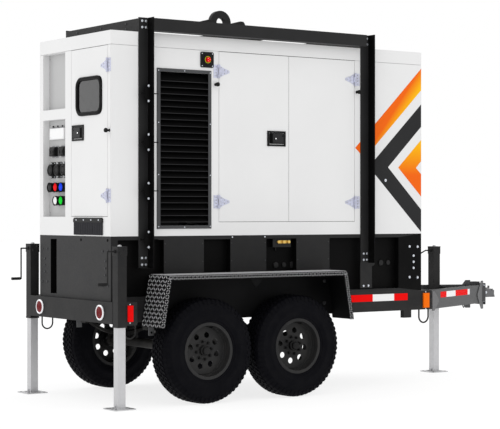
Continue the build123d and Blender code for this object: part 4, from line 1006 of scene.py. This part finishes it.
class GENSET_OT_side_fittings(bpy.types.Operator):
    """Door seals and buffers, louvre screws, emergency stop trim and cage bolts"""
    bl_idname = "genset.side_fittings"
    bl_label = "Side fittings"

    def execute(self, context):
        head = context.scene.genset_sizes.bolt_head * 1000
        shape = Shape()
        for name, side in SIDES:
            out = (0, side, 0)
            y = side * HALF
            for x in (418, 892):
                for i in range(4):
                    shape.screw((x, y + side * 6, 72 + i * 398.5), out, 4.6, 0)
            for z in (67, 1273):
                shape.screw((654, y + side * 6, z), out, 4.6, 0)
            for x in (945, 2362):
                buffer_stop(shape, (x, y, 1181), out)
            low, high = drawn_box("side_door_%s_rear" % name)
            end = drawn_box("side_door_%s_front" % name)[1].x
            for z in (low.z - 2, high.z + 2):
                shape.block(low.x, end, y - side * 12, y - side * 0.5, z - 2, z + 2, 2)
            lip = Shape()
            lip.block(high.x - 0.5, high.x + 2.6, y - side * 12, y - side * 1.5, low.z, high.z)
            piece("door_lip_" + name, lip, "side_door_%s_rear" % name, ["seal_rubber"],
                  bevel=0)
            shape.turned([(12, 0), (12, 2), (9, 3.4), (0, 3.4)], (2673, y, 451), out, 3, 24)
            shape.turned([(4, 3), (4, 4), (0, 4)], (2673, y, 451), out, 4, 18)
        buffer_stop(shape, (0, -HALF + 20, 797), REARWARD)
        self.stop()
        piece("side_fittings", shape, "chassis",
              ["zinc_bolt", "shade_and_flap_black", "seal_rubber", "zinc_bolt", "grey_plastic"],
              bevel=0.4)
        self.cage(head)
        return {"FINISHED"}

    def stop(self):
        """Seal, ring and mushroom of the emergency stop."""
        low, high = drawn_box("stop_switch_box")
        cx, cz = (low.x + high.x) / 2, (low.z + high.z) / 2
        trim = Shape()
        face = -HALF - 8
        out = RIGHTWARD
        for a in (-48, 48):
            for b in (-48, 48):
                trim.screw((cx + a, face, cz + b), out, 4.6, 1)
        trim.turned([(46, -0.2), (46, 3), (44, 5), (37, 5), (35, 1)], (cx, face, cz), out, 0, 40)
        trim.turned([(28.5, 7.7), (28.5, 9.2), (22.0, 9.2), (22.0, 7.7)], (cx, face, cz), out, 3,
                    40)
        trim.turned([(34, 6), (34, 8.6), (28.6, 8.6), (28.6, 7)], (cx, face, cz), out, 0, 40)
        piece("stop_trim", trim, "chassis",
              ["black_plastic", "zinc_bolt", "shade_and_flap_black", "yellow_plastic"],
              bevel=0.4)
        button = Shape()
        button.turned([(8, 9), (14, 10), (18.6, 13), (19, 17.5), (16.5, 21.4), (9, 22.6),
                       (0, 22.8)], (cx, face, cz), out, 0, 36)
        for i in range(3):
            a = 2 * math.pi * i / 3
            button.turned([(2.4, 22.0), (2.0, 23.2), (0, 23.4)],
                          (cx + 11 * math.cos(a), face, cz + 11 * math.sin(a)), out, 1, 10)
        piece("stop_mushroom", button, "stop_button", ["red_plastic", "white_plastic"],
              bevel=0)

    def cage(self, head):
        """Bolts of the posts, their feet and their brackets."""
        shape = Shape()
        for side in (-1, 1):
            out = (0, side, 0)
            y = side * (HALF + 8)
            for z in (1634, 1586):
                for x, xf in ((270, 2434), (303, 2466)):
                    shape.bolt((x, y, z), out, head, 0)
                    shape.bolt((xf, y, z - 2), out, head, 0)
            for z in (-165, -216):
                for x, xf in ((268, 2430), (302, 2464)):
                    shape.bolt((x, y, z), out, head, 0)
                    shape.bolt((xf, y, z + 2), out, head, 0)
            for x in (2428, 2480):
                shape.bolt((x, y, -431.5), out, head, 0)
            for i in range(4):
                for dz in (-58, 58):
                    shape.bolt((300, side * (HALF + 52), -25 + 369 * i + dz), out, head, 0)
        for x in (240, 2399):
            for y in (-380, 0, 380):
                for dz in (28, 68):
                    shape.bolt((x, y, 1557 + dz), REARWARD, head, 1)
        piece("cage_bolts", shape, "chassis", ["zinc_bolt", "dark_bolt"], bevel=0)


# -------------------------------------------------------------------------- tank
class GENSET_OT_tank_detail(bpy.types.Operator):
    """Bolts, caps and ports of the base tank"""
    bl_idname = "genset.tank_detail"
    bl_label = "Tank detail"

    def execute(self, context):
        shape = Shape()
        for side in (-1, 1):
            out = (0, side, 0)
            y = side * HALF
            for x, z in ((2939, -109), (3029, -112), (2984, -188), (2984, -241), (2984, -293),
                         (2939, -371), (3029, -375)):
                shape.bolt((x, y, z), out, TANK_BOLT, 0)
            for x in (1105, 1420):
                shape.screw((x, y, -14), out, 6, 0)
            for x in (480, 825, 1098, 1423, 1746, 2063):
                for z in (-60, -200, -330, -440):
                    shape.screw((x, y, z), out, 4, 2)
            inner = side * (HALF - 60 + 8)
            for x, r in ((2572, 27), (2666, 24), (2745, 21), (1568, 24), (1650, 20), (1733, 25)):
                shape.turned([(r - 1, 0), (r - 1, 2.5), (r - 7, 3.5), (0, 3.5)],
                             (x, inner, -244), out, 3, 24)
            shape.rod((1562, side * (HALF - 50), -99), (1562, side * (HALF - 50), -126), 5, 3, 12)
        rear_out = REARWARD
        for y0 in (-520, 440):
            for dy, z in ((0, -109), (78, -112), (39, -188), (39, -241), (39, -293), (0, -371),
                          (78, -375)):
                shape.bolt((0, y0 + dy, z), rear_out, TANK_BOLT, 2)
        for x in (1564, 1614, 1665):
            at = (x, -HALF + 16, -57)
            shape.turned([(12.2, -12), (15, -10), (15, 0), (13, 2)], at, RIGHTWARD, 5, 6)
            shape.turned([(12.5, 1), (13.5, 2), (13.5, 9), (11, 10), (7.5, 10), (7.5, 1)], at,
                         RIGHTWARD, 5, 24)
            # Near-black port openings: painted shade.
            shape.turned([(7.6, 4), (0, 4)], at, RIGHTWARD, 4, 18)
        shape.turned([(42, 0), (50, 2), (50, 26), (44, 31), (0, 31)],
                     (540, HALF - 180, 2), UPWARD, 3, 36)
        for y in (-515, -108):
            shape.turned([(11, 0), (11, 2), (8, 2.4), (0, 2.4)], (0, y, -30), rear_out, 1, 18)
        piece("tank_detail", shape, "chassis",
              ["zinc_bolt", "shade_and_flap_black", "dark_bolt", "tank_black", "shade_and_flap_black", "brass"],
              bevel=0.4)
        return {"FINISHED"}


# ------------------------------------------------------------------------- rear wall
class GENSET_OT_rear_window(bpy.types.Operator):
    """Rubber seal round the rear window, and the control panel behind it"""
    bl_idname = "genset.rear_window"
    bl_label = "Window and controls"

    def execute(self, context):
        low, high = drawn_box("door_window")
        shape = Shape()
        cy, cz = (low.y + high.y) / 2, (low.z + high.z) / 2
        hy, hz = (high.y - low.y) / 2, (high.z - low.z) / 2 + 5
        self.ring(shape, cy, cz, hy, hz, 80, 30)
        piece("window_seal", shape, "rear_door", ["seal_rubber"], bevel=0)
        self.controls()
        return {"FINISHED"}

    def ring(self, shape, cy, cz, hy, hz, corner, width):
        """A rounded frame with a domed section."""
        def loop(inset, x):
            points = []
            r = corner - inset
            for qy, qz, a0 in ((1, 1, 0), (-1, 1, 90), (-1, -1, 180), (1, -1, 270)):
                for k in range(9):
                    a = math.radians(a0 + 90 * k / 8)
                    points.append((x, cy + qy * (hy - corner) + r * math.cos(a),
                                   cz + qz * (hz - corner) + r * math.sin(a)))
            return points
        section = ((0, 0.0), (1, -9), (6, -13), (width * 0.4, -14), (width * 0.5, -11),
                   (width * 0.6, -14), (width - 6, -13), (width, -7), (width, 0.6))
        loops = [loop(inset, x) for inset, x in section]
        points = [p for one in loops for p in one]
        n = len(loops[0])
        faces = []
        for i in range(len(loops) - 1):
            for k in range(n):
                j = (k + 1) % n
                faces.append((i * n + k, i * n + j, (i + 1) * n + j, (i + 1) * n + k))
        shape.add(points, faces, 0)

    def controls(self):
        """Screen, buttons, selector and stop on the controller's face."""
        low, high = drawn_box("controller")
        y, z = (low.y + high.y) / 2, (low.z + high.z) / 2
        x = low.x
        shape = Shape()
        shape.block(x - 4, x, low.y + 12, high.y - 12, low.z + 12, high.z - 12, 0)
        shape.block(x - 8, x - 4, y - 86, y + 86, z + 20, z + 128, 1)
        shape.block(x - 9, x - 8, y - 72, y + 72, z + 34, z + 114, 2)
        for i in range(5):
            for j in range(2):
                at = (x - 4, y - 96 + 48 * i, z - 24 - 44 * j)
                shape.turned([(12, 0), (12, 4), (9, 6), (0, 6)], at, REARWARD,
                             3 + (i + j) % 3, 18)
        shape.turned([(24, 0), (24, 8), (16, 10), (16, 26), (13, 28), (0, 28)],
                     (x - 4, y + 96, z - 128), REARWARD, 6, 30)
        shape.turned([(20, 0), (20, 6), (12, 8), (0, 8)], (x - 4, y - 96, z - 128), REARWARD, 1,
                     24)
        piece("control_face", shape, "chassis",
              ["grey_plastic", "black_plastic", "screen_plastic", "white_plastic",
               "green_plastic", "yellow_plastic", "red_plastic"], bevel=0.6)


class GENSET_OT_power_panel(bpy.types.Operator):
    """Outlets, cable connectors and breakers in the rear recesses"""
    bl_idname = "genset.power_panel"
    bl_label = "Power panel"

    def execute(self, context):
        back = drawn_box("power_sockets")[1].x
        z_duplex = 662.0
        columns = lambda count, pitch: [326 + pitch * (i - (count - 1) / 2) for i in range(count)]
        out = REARWARD
        fixed = Shape()
        for i, y in enumerate(columns(2, 150)):
            fixed.block(back - 4, back, y - 54, y + 54, z_duplex - 44, z_duplex + 50, 0)
            for dz in (-40, 46):
                fixed.screw((back - 4, y, z_duplex + dz), out, 4, 1)
            lid = Shape()
            lid.block(15.5, 18.5, y - 36, y + 36, z_duplex - 27, z_duplex + 24, 0)
            lid.block(12.5, 15.5, y - 24, y + 24, z_duplex - 30, z_duplex - 20, 0)
            for dy in (-18, 18):
                lid.turned([(13, 0), (13, 2), (11, 3), (0, 3)], (15.5, y + dy, z_duplex), out, 0,
                           20)
            piece("duplex_cover_%d" % (i + 1), lid, "duplex_lid_%d" % (i + 1),
                  ["black_plastic", "grey_black"], bevel=0.8)
        z = 518.0
        for i, y in enumerate(columns(3, 106)):
            for dy in (-28, 28):
                for dz in (-54, 54):
                    fixed.screw((back - 6, y + dy, z + dz), out, 5, 1)
            lid = Shape()
            lid.turned([(43, 0), (43, 2), (38, 4), (34, 4), (32, 2.5), (0, 2.5)], (18.5, y, z),
                       out, 0, 36)
            lid.block(11.5, 18.5, y - 9, y + 9, z - 46, z - 36, 0)
            for a in range(12):
                t = math.radians(30 * a)
                lid.turned([(3.2, 0), (2.8, 4), (0, 4.4)],
                           (16.0, y + 26 * math.sin(t), z + 26 * math.cos(t)), out, 0, 8)
            piece("twist_cover_%d" % (i + 1), lid, "twist_lid_%d" % (i + 1), ["black_plastic"],
                  bevel=0.6)
        caps = {(380, 2): 2, (380, 1): 3, (380, 0): 4, (274, 1): 5, (274, 0): 6}
        for (z, i), paint in caps.items():
            y = columns(3, 91)[i]
            at = (19, y, z)
            black = 2
            fixed.turned([(37.2, 0), (38.5, 2), (38.5, -14), (37.2, -16)], at, (1, 0, 0), black,
                         36)
            fixed.turned([(30, 0), (31.5, 4), (31.5, 9), (27, 13), (11, 15.5), (0, 15.5)], at, out,
                         paint, 32)
            fixed.block(2.5, 12, y - 4.5, y + 4.5, z + 6, z + 33, paint)
            fixed.tube([(10, y, z - 30), (4, y + 10, z - 41), (10, y + 22, z - 40),
                        (18, y + 27, z - 28)], 2.2, 2, 8)
        self.breakers(fixed)
        piece("power_panel_trim", fixed, "chassis",
              ["grey_plastic", "zinc_bolt", "black_plastic", "red_plastic", "blue_plastic",
               "white_plastic", "green_plastic", "breaker_white", "shade_and_flap_black"],
              bevel=0.7)
        return {"FINISHED"}

    def breakers(self, shape):
        """Cover of the breaker box with its toggles on top, and screws of the recess trays."""
        front = RECESS_BACK - 26
        y, z = 336.0, 806.0
        shape.block(front - 3, front, y - 114, y + 114, z - 39, z + 39, 7)
        for i in range(3):
            yy = y - 76 + 76 * i
            shape.block(front + 2, front + 18, yy - 15, yy + 15, z + 41, z + 52, 0)
            shape.block(front + 6, front + 14, yy - 7, yy + 7, z + 52, z + 66, 2)
        for yy in (y - 104, y + 104):
            shape.screw((front - 3, yy, z - 28), REARWARD, 4, 1)
        for yy in (160, 492):
            for zz in (180, 560, 880, 1020, 1410):
                shape.screw((RECESS_BACK, yy, zz), REARWARD, 4, 0)


class GENSET_OT_curtain_trim(bpy.types.Operator):
    """Clamp bar and bolts over the rubber cable curtain"""
    bl_idname = "genset.curtain_trim"
    bl_label = "Curtain clamp"

    def execute(self, context):
        low, high = drawn_box("cable_curtain")
        shape = Shape()
        a, b = low.y - 2, high.y + 2
        top = high.z + 24
        bar = [(a, high.z - 12), (b, high.z - 12), (b, top - 12), (b - 14, top), (a + 14, top),
               (a, top - 12)]
        shape.prism(bar, "x", -13, 0, 0)
        for i in range(4):
            y = a + 50 + (b - a - 100) * i / 3
            shape.bolt((-13, y, high.z + 7), REARWARD, 9, 1)
        for i in range(6):
            y = low.y + (high.y - low.y) * (i + 0.5) / 6
            shape.block(-10.4, -9, y - 23, y + 23, low.z + 3, low.z + 7, 2)
        piece("curtain_clamp", shape, "chassis", ["frame_black", "zinc_bolt", "curtain_rubber"],
              bevel=0.8)
        strips = Shape()
        rng = random.Random(7)
        for i in range(12):
            y0 = low.y + (high.y - low.y) * i / 12 + 1.5
            y1 = y0 + (high.y - low.y) / 12 - 3
            lift = rng.uniform(0.5, 2.2)
            strips.prism([(-9.2, low.z + 2), (-9.2 - lift, low.z + 2), (-9.6, high.z - 12),
                          (-9.2, high.z - 12)], "y", y0, y1, 0)
        piece("curtain_strips", strips, "chassis", ["curtain_rubber"], bevel=0.3)
        return {"FINISHED"}


# --------------------------------------------------------------------- lamps and markers
class GENSET_OT_lamps(bpy.types.Operator):
    """Tail lamps with chrome rings, and side markers with screws"""
    bl_idname = "genset.lamps"
    bl_label = "Lamps and markers"

    def execute(self, context):
        shape = Shape()
        lamp_y, lamp_z = HALF - 84, -572.0
        face = -48.0
        out = REARWARD
        for side in (-1, 1):
            at = (face, side * lamp_y, lamp_z)
            shape.turned([(59, -6), (60.5, 0), (58, 5), (51, 7.5), (46, 5), (45, 1)], at, out, 0,
                         48)
            shape.turned([(45.5, 2), (45, 4), (34, 6.2), (0, 7)], at, out, 1, 48)
            for r in (34, 23, 12):
                shape.turned([(r, 5.4), (r - 1.5, 8.2), (r - 4.5, 8.2), (r - 6, 5.6)], at, out, 1,
                             40)
        piece("tail_lenses", shape, "chassis", ["chrome_ring", "lens_red"], bevel=0)
        markers = Shape()
        wing = drawn_box("lamps")[1].y
        for side in (-1, 1):
            out = (0, side, 0)
            y = side * (wing - 0.5)
            self.lens(markers, 52, 92, y, -573, 46, side, 0)
            for z in (-505, -641):
                markers.screw((66, side * (wing - 12), z), out, 6, 2)
            self.lens(markers, LENGTH + 18, LENGTH + 84, side * (HALF + 11.5), -573.5, 56, side, 1)
            for z in (-572 + 70, -572 - 72):
                markers.screw((LENGTH + 51, side * HALF, z), out, 6, 2)
        piece("side_markers", markers, "chassis", ["lens_marker", "lens_amber", "zinc_bolt"],
              bevel=0.8)
        return {"FINISHED"}

    def lens(self, shape, x0, x1, y, z, half, side, paint):
        """A marker lens in seven ribs, one above the other."""
        count = 7
        step = 2 * half / count
        for i in range(count):
            a = z - half + step * i
            outline = [(x0 + 5, a + 1), (x1 - 5, a + 1), (x1 - 5, a + step - 1),
                       (x0 + 5, a + step - 1)]
            shape.prism(outline, "y", y - side * 1.5, y + side * 2.5, paint)


# --------------------------------------------------------------------- jacks and hitch
JACK_TOP = {"rear_right": -73.0, "rear_left": -73.0, "front": -131.0}
JACK_FOOT = {"rear_right": -675.0, "rear_left": -675.0, "front": -652.0}
CRANK_ARM, CRANK_DROP = 244.0, 36.0      # the crank's throw, and its shaft below the tube's top


class GENSET_OT_jack_detail(bpy.types.Operator):
    """Collars, bolts, adjusting holes and grips of the screw jacks"""
    bl_idname = "genset.jack_detail"
    bl_label = "Jack detail"

    def execute(self, context):
        shape = Shape()
        for key in JACK_TOP:
            low, high = drawn_box("jack_leg_" + key)
            x, y = (low.x + high.x) / 2, (low.y + high.y) / 2
            top, foot = JACK_TOP[key], JACK_FOOT[key]
            for side in (-1, 1):
                shape.bolt((x + 18, y + side * 41, top - 22), (0, side, 0), 12, 1)
                shape.bolt((x - 18, y + side * 41, top - 50), (0, side, 0), 12, 1)
            shape.turned([(16, 0), (16, 6), (9, 12), (0, 13)], (x, y, top), UPWARD, 2, 24)
            shape.block(x - 43, x + 43, y - 43, y + 43, top - 3, top + 0.5, 1)
            shape.block(x - 40, x + 40, y - 40, y + 40, foot - 0.5, foot + 12, 1)
            shape.rod((x - 38, y, top - CRANK_DROP), (x - 52, y, top - CRANK_DROP), 13, 1, 24)
            leg = Shape()
            for side in (-1, 1):
                leg.block(x - 42, x + 42, y + side * 33, y + side * 58, GROUND + 8,
                          GROUND + 13, 0)
                for dx in (-70, 70):
                    leg.turned([(9, 0), (9, 1.5), (4, 2)], (x + dx, y + side * 70, GROUND + 8),
                               UPWARD, 1, 18)
            piece("leg_detail_" + key, leg, "jack_leg_" + key, ["galvanised", "dark_bolt"],
                  bevel=0.6)
        piece("jack_trim", shape, "chassis", ["zinc_bolt", "frame_black", "galvanised"],
              bevel=1.0)
        self.grips()
        return {"FINISHED"}

    def grips(self):
        """Ribbed grips on the cranks' free ends."""
        for key in JACK_TOP:
            low, high = drawn_box("jack_leg_" + key)
            tilt = math.radians(67.0 if key == "front" else 0.0)
            x = drawn_box("jack_crank_" + key)[0].x
            y = (low.y + high.y) / 2 + CRANK_ARM * math.sin(tilt)
            z = JACK_TOP[key] - CRANK_DROP - CRANK_ARM * math.cos(tilt)
            grip = Shape()
            rows = [(0, 0.4), (9, 0.4), (11.6, 4)]
            for i in range(8):
                a = 8 + 8 * i
                rows += [(11.7, a), (10.9, a + 2), (10.9, a + 4), (11.7, a + 6)]
            rows += [(11.2, 76), (0, 77)]
            grip.turned(rows, (x, y, z), (1, 0, 0), 0, 24)
            piece("crank_grip_" + key, grip, "jack_crank_" + key, ["black_plastic"],
                  bevel=0)


def tongue_face(x):
    """Outer face of a tongue rail from the centre plane, at x."""
    start, end, half_end = LENGTH + 120, LENGTH + 1177, 78.0
    return HALF - (HALF - half_end) * (x - start) / (end - start)


class GENSET_OT_hitch_detail(bpy.types.Operator):
    """Bolts, gussets and chain hooks of the tongue and hitch"""
    bl_idname = "genset.hitch_detail"
    bl_label = "Hitch detail"

    def execute(self, context):
        shape = Shape()
        low, high = drawn_box("hitch_channel")
        channel = high.x - 48
        mid = (low.z + high.z) / 2
        for side in (-1, 1):
            out = (0, side, 0)
            for step in (-1, 0, 1):
                z = mid + 52 * step
                if step:
                    shape.bolt((channel + 28.8, side * 50, z), out, 20, 0)
                else:
                    shape.turned([(15, 0), (15, 2), (8.6, 2), (8.6, 0)],
                                 (channel + 28.8, side * 50, z), out, 1, 24)
            for z in (mid - 70, mid + 70):
                shape.bolt((channel - 8, side * 92, z), REARWARD, 16, 0)
            self.gusset(shape, side, 3196, 3318, -668, -500, 7)
            self.gusset(shape, side, 4238, 4118, -706, -448, 9)
            hook = [(3830, -650), (3838, -664), (3852, -676), (3870, -664), (3878, -650)]
            shape.tube([(x, side * (tongue_face(x) - 14), z) for x, z in hook], 5, 4, 10)
            shape.block(334, 380, side * (HALF - 8), side * HALF, -758, -653, 4)
            # Near-black disc on the plate: painted shade.
            shape.turned([(9, 0), (9, 1), (0, 1)], (357, side * HALF, -735), out, 5, 18)
            shape.bolt((3150, side * HALF, -530), out, 16, 2)
            shape.bolt((3150, side * HALF, -610), out, 16, 2)
        low, high = drawn_box("coupler")
        nose = high.x - 43
        shape.turned([(38, 0), (41, 3), (41, 9), (38, 12)], (nose, 0, low.z + 8), UPWARD, 3, 40)
        for side in (-1, 1):
            shape.bolt((low.x + 62, side * 37, low.z + 44), (0, side, 0), 16, 0)
            shape.turned([(6, 0), (6, 2), (0, 2)], (nose - 16, side * 36.5, high.z - 30),
                         (0, side, 0), 2, 18)
        piece("hitch_trim", shape, "chassis",
              ["zinc_bolt", "hitch_grey", "dark_bolt", "coupler_grey", "gusset_grey",
               "shade_and_flap_black"], bevel=0.8)
        return {"FINISHED"}

    def gusset(self, shape, side, root, tip, low, high, thick):
        """A pointed plate on the tongue rail, wide at its root."""
        mid = (low + high) / 2
        outline = [(root, low), (root, high), ((root * 2 + tip) / 3, high), (tip, mid + 14),
                   (tip, mid - 14), ((root * 2 + tip) / 3, low)]
        points = [(x, side * (tongue_face(x) + o), z) for o in (0.2, thick) for x, z in outline]
        n = len(outline)
        faces = [tuple(range(n)), tuple(range(2 * n - 1, n - 1, -1))]
        faces += [(i, (i + 1) % n, (i + 1) % n + n, i + n) for i in range(n)]
        shape.add(points, faces, 4)


class GENSET_OT_roof_detail(bpy.types.Operator):
    """Exhaust collar, and the lifting eye's weld beads"""
    bl_idname = "genset.roof_detail"
    bl_label = "Roof detail"

    def execute(self, context):
        shape = Shape()
        top = 1550.0
        shape.turned([(62, 0), (74, 1), (74, 5), (64, 8), (60, 40), (54, 42), (54, 0)],
                     (1690, 200, top), UPWARD, 0, 36)
        for i in range(6):
            a = math.pi * i / 3
            shape.bolt((1690 + 68 * math.cos(a), 200 + 68 * math.sin(a), top + 4), UPWARD, 9, 1)
        low, high = drawn_box("lifting_eye")
        x0, x1 = low.x, high.x
        for side in (-1, 1):
            y = side * 20
            shape.tube([(x0 + 4 + (x1 - x0 - 8) * i / 24, y + side * 1.5, 1652.5)
                        for i in range(25)], 3.2, 2, 8)
        piece("roof_detail", shape, "chassis", ["muffler_steel", "zinc_bolt", "frame_black"],
              bevel=0.5)
        return {"FINISHED"}


class GENSET_OT_inner_lining(bpy.types.Operator):
    """Sound-proof lining on the side doors, and bars behind the front grille"""
    bl_idname = "genset.inner_lining"
    bl_label = "Sound-proof lining"

    def execute(self, context):
        for name, side in SIDES:
            for end, x0, x1 in (("rear", 985, 1650), ("front", 1667, 2331)):
                shape = Shape()
                self.foam(shape, x0 + 12, x1 - 12, side * (HALF - 5.2), -side, 122, 1426)
                piece("door_lining_%s_%s" % (name, end), shape, "side_door_%s_%s" % (name, end),
                      ["lining_foam", "zinc_bolt"], bevel=0)
        grille = Shape()
        for i in range(22):
            y = -420 + 40 * i
            grille.block(LENGTH - 14, LENGTH - 10, y - 3, y + 3, 252, 1282, 0)
        piece("front_grille_bars", grille, "chassis", ["louvre_black"], bevel=0)
        return {"FINISHED"}

    def foam(self, shape, x0, x1, y, way, z0, z1):
        """Egg-box foam: a grid of low pyramids on a flat sheet."""
        nx, nz = 12, 24
        dx, dz = (x1 - x0) / nx, (z1 - z0) / nz
        points = []
        for i in range(2 * nx + 1):
            for k in range(2 * nz + 1):
                high = 11 if (i % 2 and k % 2) else 4
                points.append((x0 + dx * i / 2, y + way * high, z0 + dz * k / 2))
        n = 2 * nz + 1
        faces = [(i * n + k, i * n + k + 1, (i + 1) * n + k + 1, (i + 1) * n + k)
                 for i in range(2 * nx) for k in range(2 * nz)]
        shape.add(points, faces, 0)


# -------------------------------------------------------------------------- stage
class GENSET_OT_stage(bpy.types.Operator):
    """Pale floor, soft studio light and the camera"""
    bl_idname = "genset.stage"
    bl_label = "Studio"

    def execute(self, context):
        scene = context.scene
        world = bpy.data.worlds.new("Studio")
        scene.world = world
        world.use_nodes = True
        backdrop = world.node_tree.nodes["Background"]
        backdrop.inputs[0].default_value = (1, 1, 1, 1)
        backdrop.inputs[1].default_value = 1.0
        scene.view_settings.view_transform = "Standard"
        mesh = bpy.data.meshes.new("studio_floor")
        size = 60.0
        corners = [(-size, -size, 0), (size, -size, 0), (size, size, 0), (-size, size, 0)]
        mesh.from_pydata(corners, [], [(0, 1, 2, 3)])
        floor = bpy.data.objects.new("studio_floor", mesh)
        scene.collection.objects.link(floor)
        paper = bpy.data.materials.new("studio_paper")
        paper.use_nodes = True
        shader = paper.node_tree.nodes["Principled BSDF"]
        shader.inputs["Base Color"].default_value = (0.26, 0.26, 0.26, 1)
        shader.inputs["Roughness"].default_value = 0.9
        shader.inputs["Specular IOR Level"].default_value = 0.0
        shader.inputs["Emission Color"].default_value = (1, 1, 1, 1)
        shader.inputs["Emission Strength"].default_value = 0.80
        mesh.materials.append(paper)
        self.light("rear_panel", (-8.0, 7.0, 3.5), (0, 0, 1.3), 5.0, 70)
        self.light("side_panel", (5.0, -9.0, 6.0), (0, 0, 1.5), 6.0, 40)
        camera = bpy.data.objects.new("camera", bpy.data.cameras.new("camera"))
        scene.collection.objects.link(camera)
        yaw, pitch = math.radians(54.855), math.radians(-0.072)
        way = Vector((math.cos(yaw) * math.cos(pitch), math.sin(yaw) * math.cos(pitch),
                      math.sin(pitch)))
        camera.location = (-8.31935, -11.1614, 1.4635)
        camera.rotation_euler = way.to_track_quat("-Z", "Y").to_euler()
        camera.data.sensor_width = 36.0
        camera.data.lens = 117.52
        camera.data.clip_end = 200.0
        scene.camera = camera
        return {"FINISHED"}

    def light(self, name, spot, aim, size, power):
        lamp = bpy.data.lights.new(name, "AREA")
        lamp.shape = "DISK"
        lamp.size = size
        lamp.energy = power
        thing = bpy.data.objects.new(name, lamp)
        thing.location = spot
        thing.rotation_euler = (Vector(aim) - Vector(spot)).to_track_quat("-Z", "Y").to_euler()
        bpy.context.scene.collection.objects.link(thing)


class GENSET_PT_panel(bpy.types.Panel):
    """Lists the generator's pieces in the sidebar"""
    bl_idname = "GENSET_PT_panel"
    bl_label = "Towable generator"
    bl_space_type = "VIEW_3D"
    bl_region_type = "UI"
    bl_category = "Generator"

    def draw(self, context):
        layout = self.layout
        for group in (context.scene.genset_colours, context.scene.genset_sizes):
            for key in group.__annotations__:
                layout.prop(group, key)
        for operator in OPERATORS:
            layout.operator(operator.bl_idname)


OPERATORS = (GENSET_OT_stage, GENSET_OT_finishes, GENSET_OT_tyres, GENSET_OT_wheel_trim,
             GENSET_OT_fender_tread, GENSET_OT_stripes, GENSET_OT_safety_tape,
             GENSET_OT_hinges, GENSET_OT_latches, GENSET_OT_side_fittings,
             GENSET_OT_tank_detail, GENSET_OT_rear_window, GENSET_OT_power_panel,
             GENSET_OT_curtain_trim, GENSET_OT_lamps, GENSET_OT_jack_detail,
             GENSET_OT_hitch_detail, GENSET_OT_roof_detail, GENSET_OT_inner_lining)
CLASSES = (GeneratorColours, GeneratorSizes) + OPERATORS + (GENSET_PT_panel,)


def register():
    for each in CLASSES:
        bpy.utils.register_class(each)
    bpy.types.Scene.genset_colours = PointerProperty(type=GeneratorColours)
    bpy.types.Scene.genset_sizes = PointerProperty(type=GeneratorSizes)


def unregister():
    del bpy.types.Scene.genset_colours
    del bpy.types.Scene.genset_sizes
    for each in reversed(CLASSES):
        bpy.utils.unregister_class(each)


def main():
    register()
    for operator in OPERATORS:
        group, name = operator.bl_idname.split(".")
        getattr(getattr(bpy.ops, group), name)()


if __name__ == "__main__":
    main()
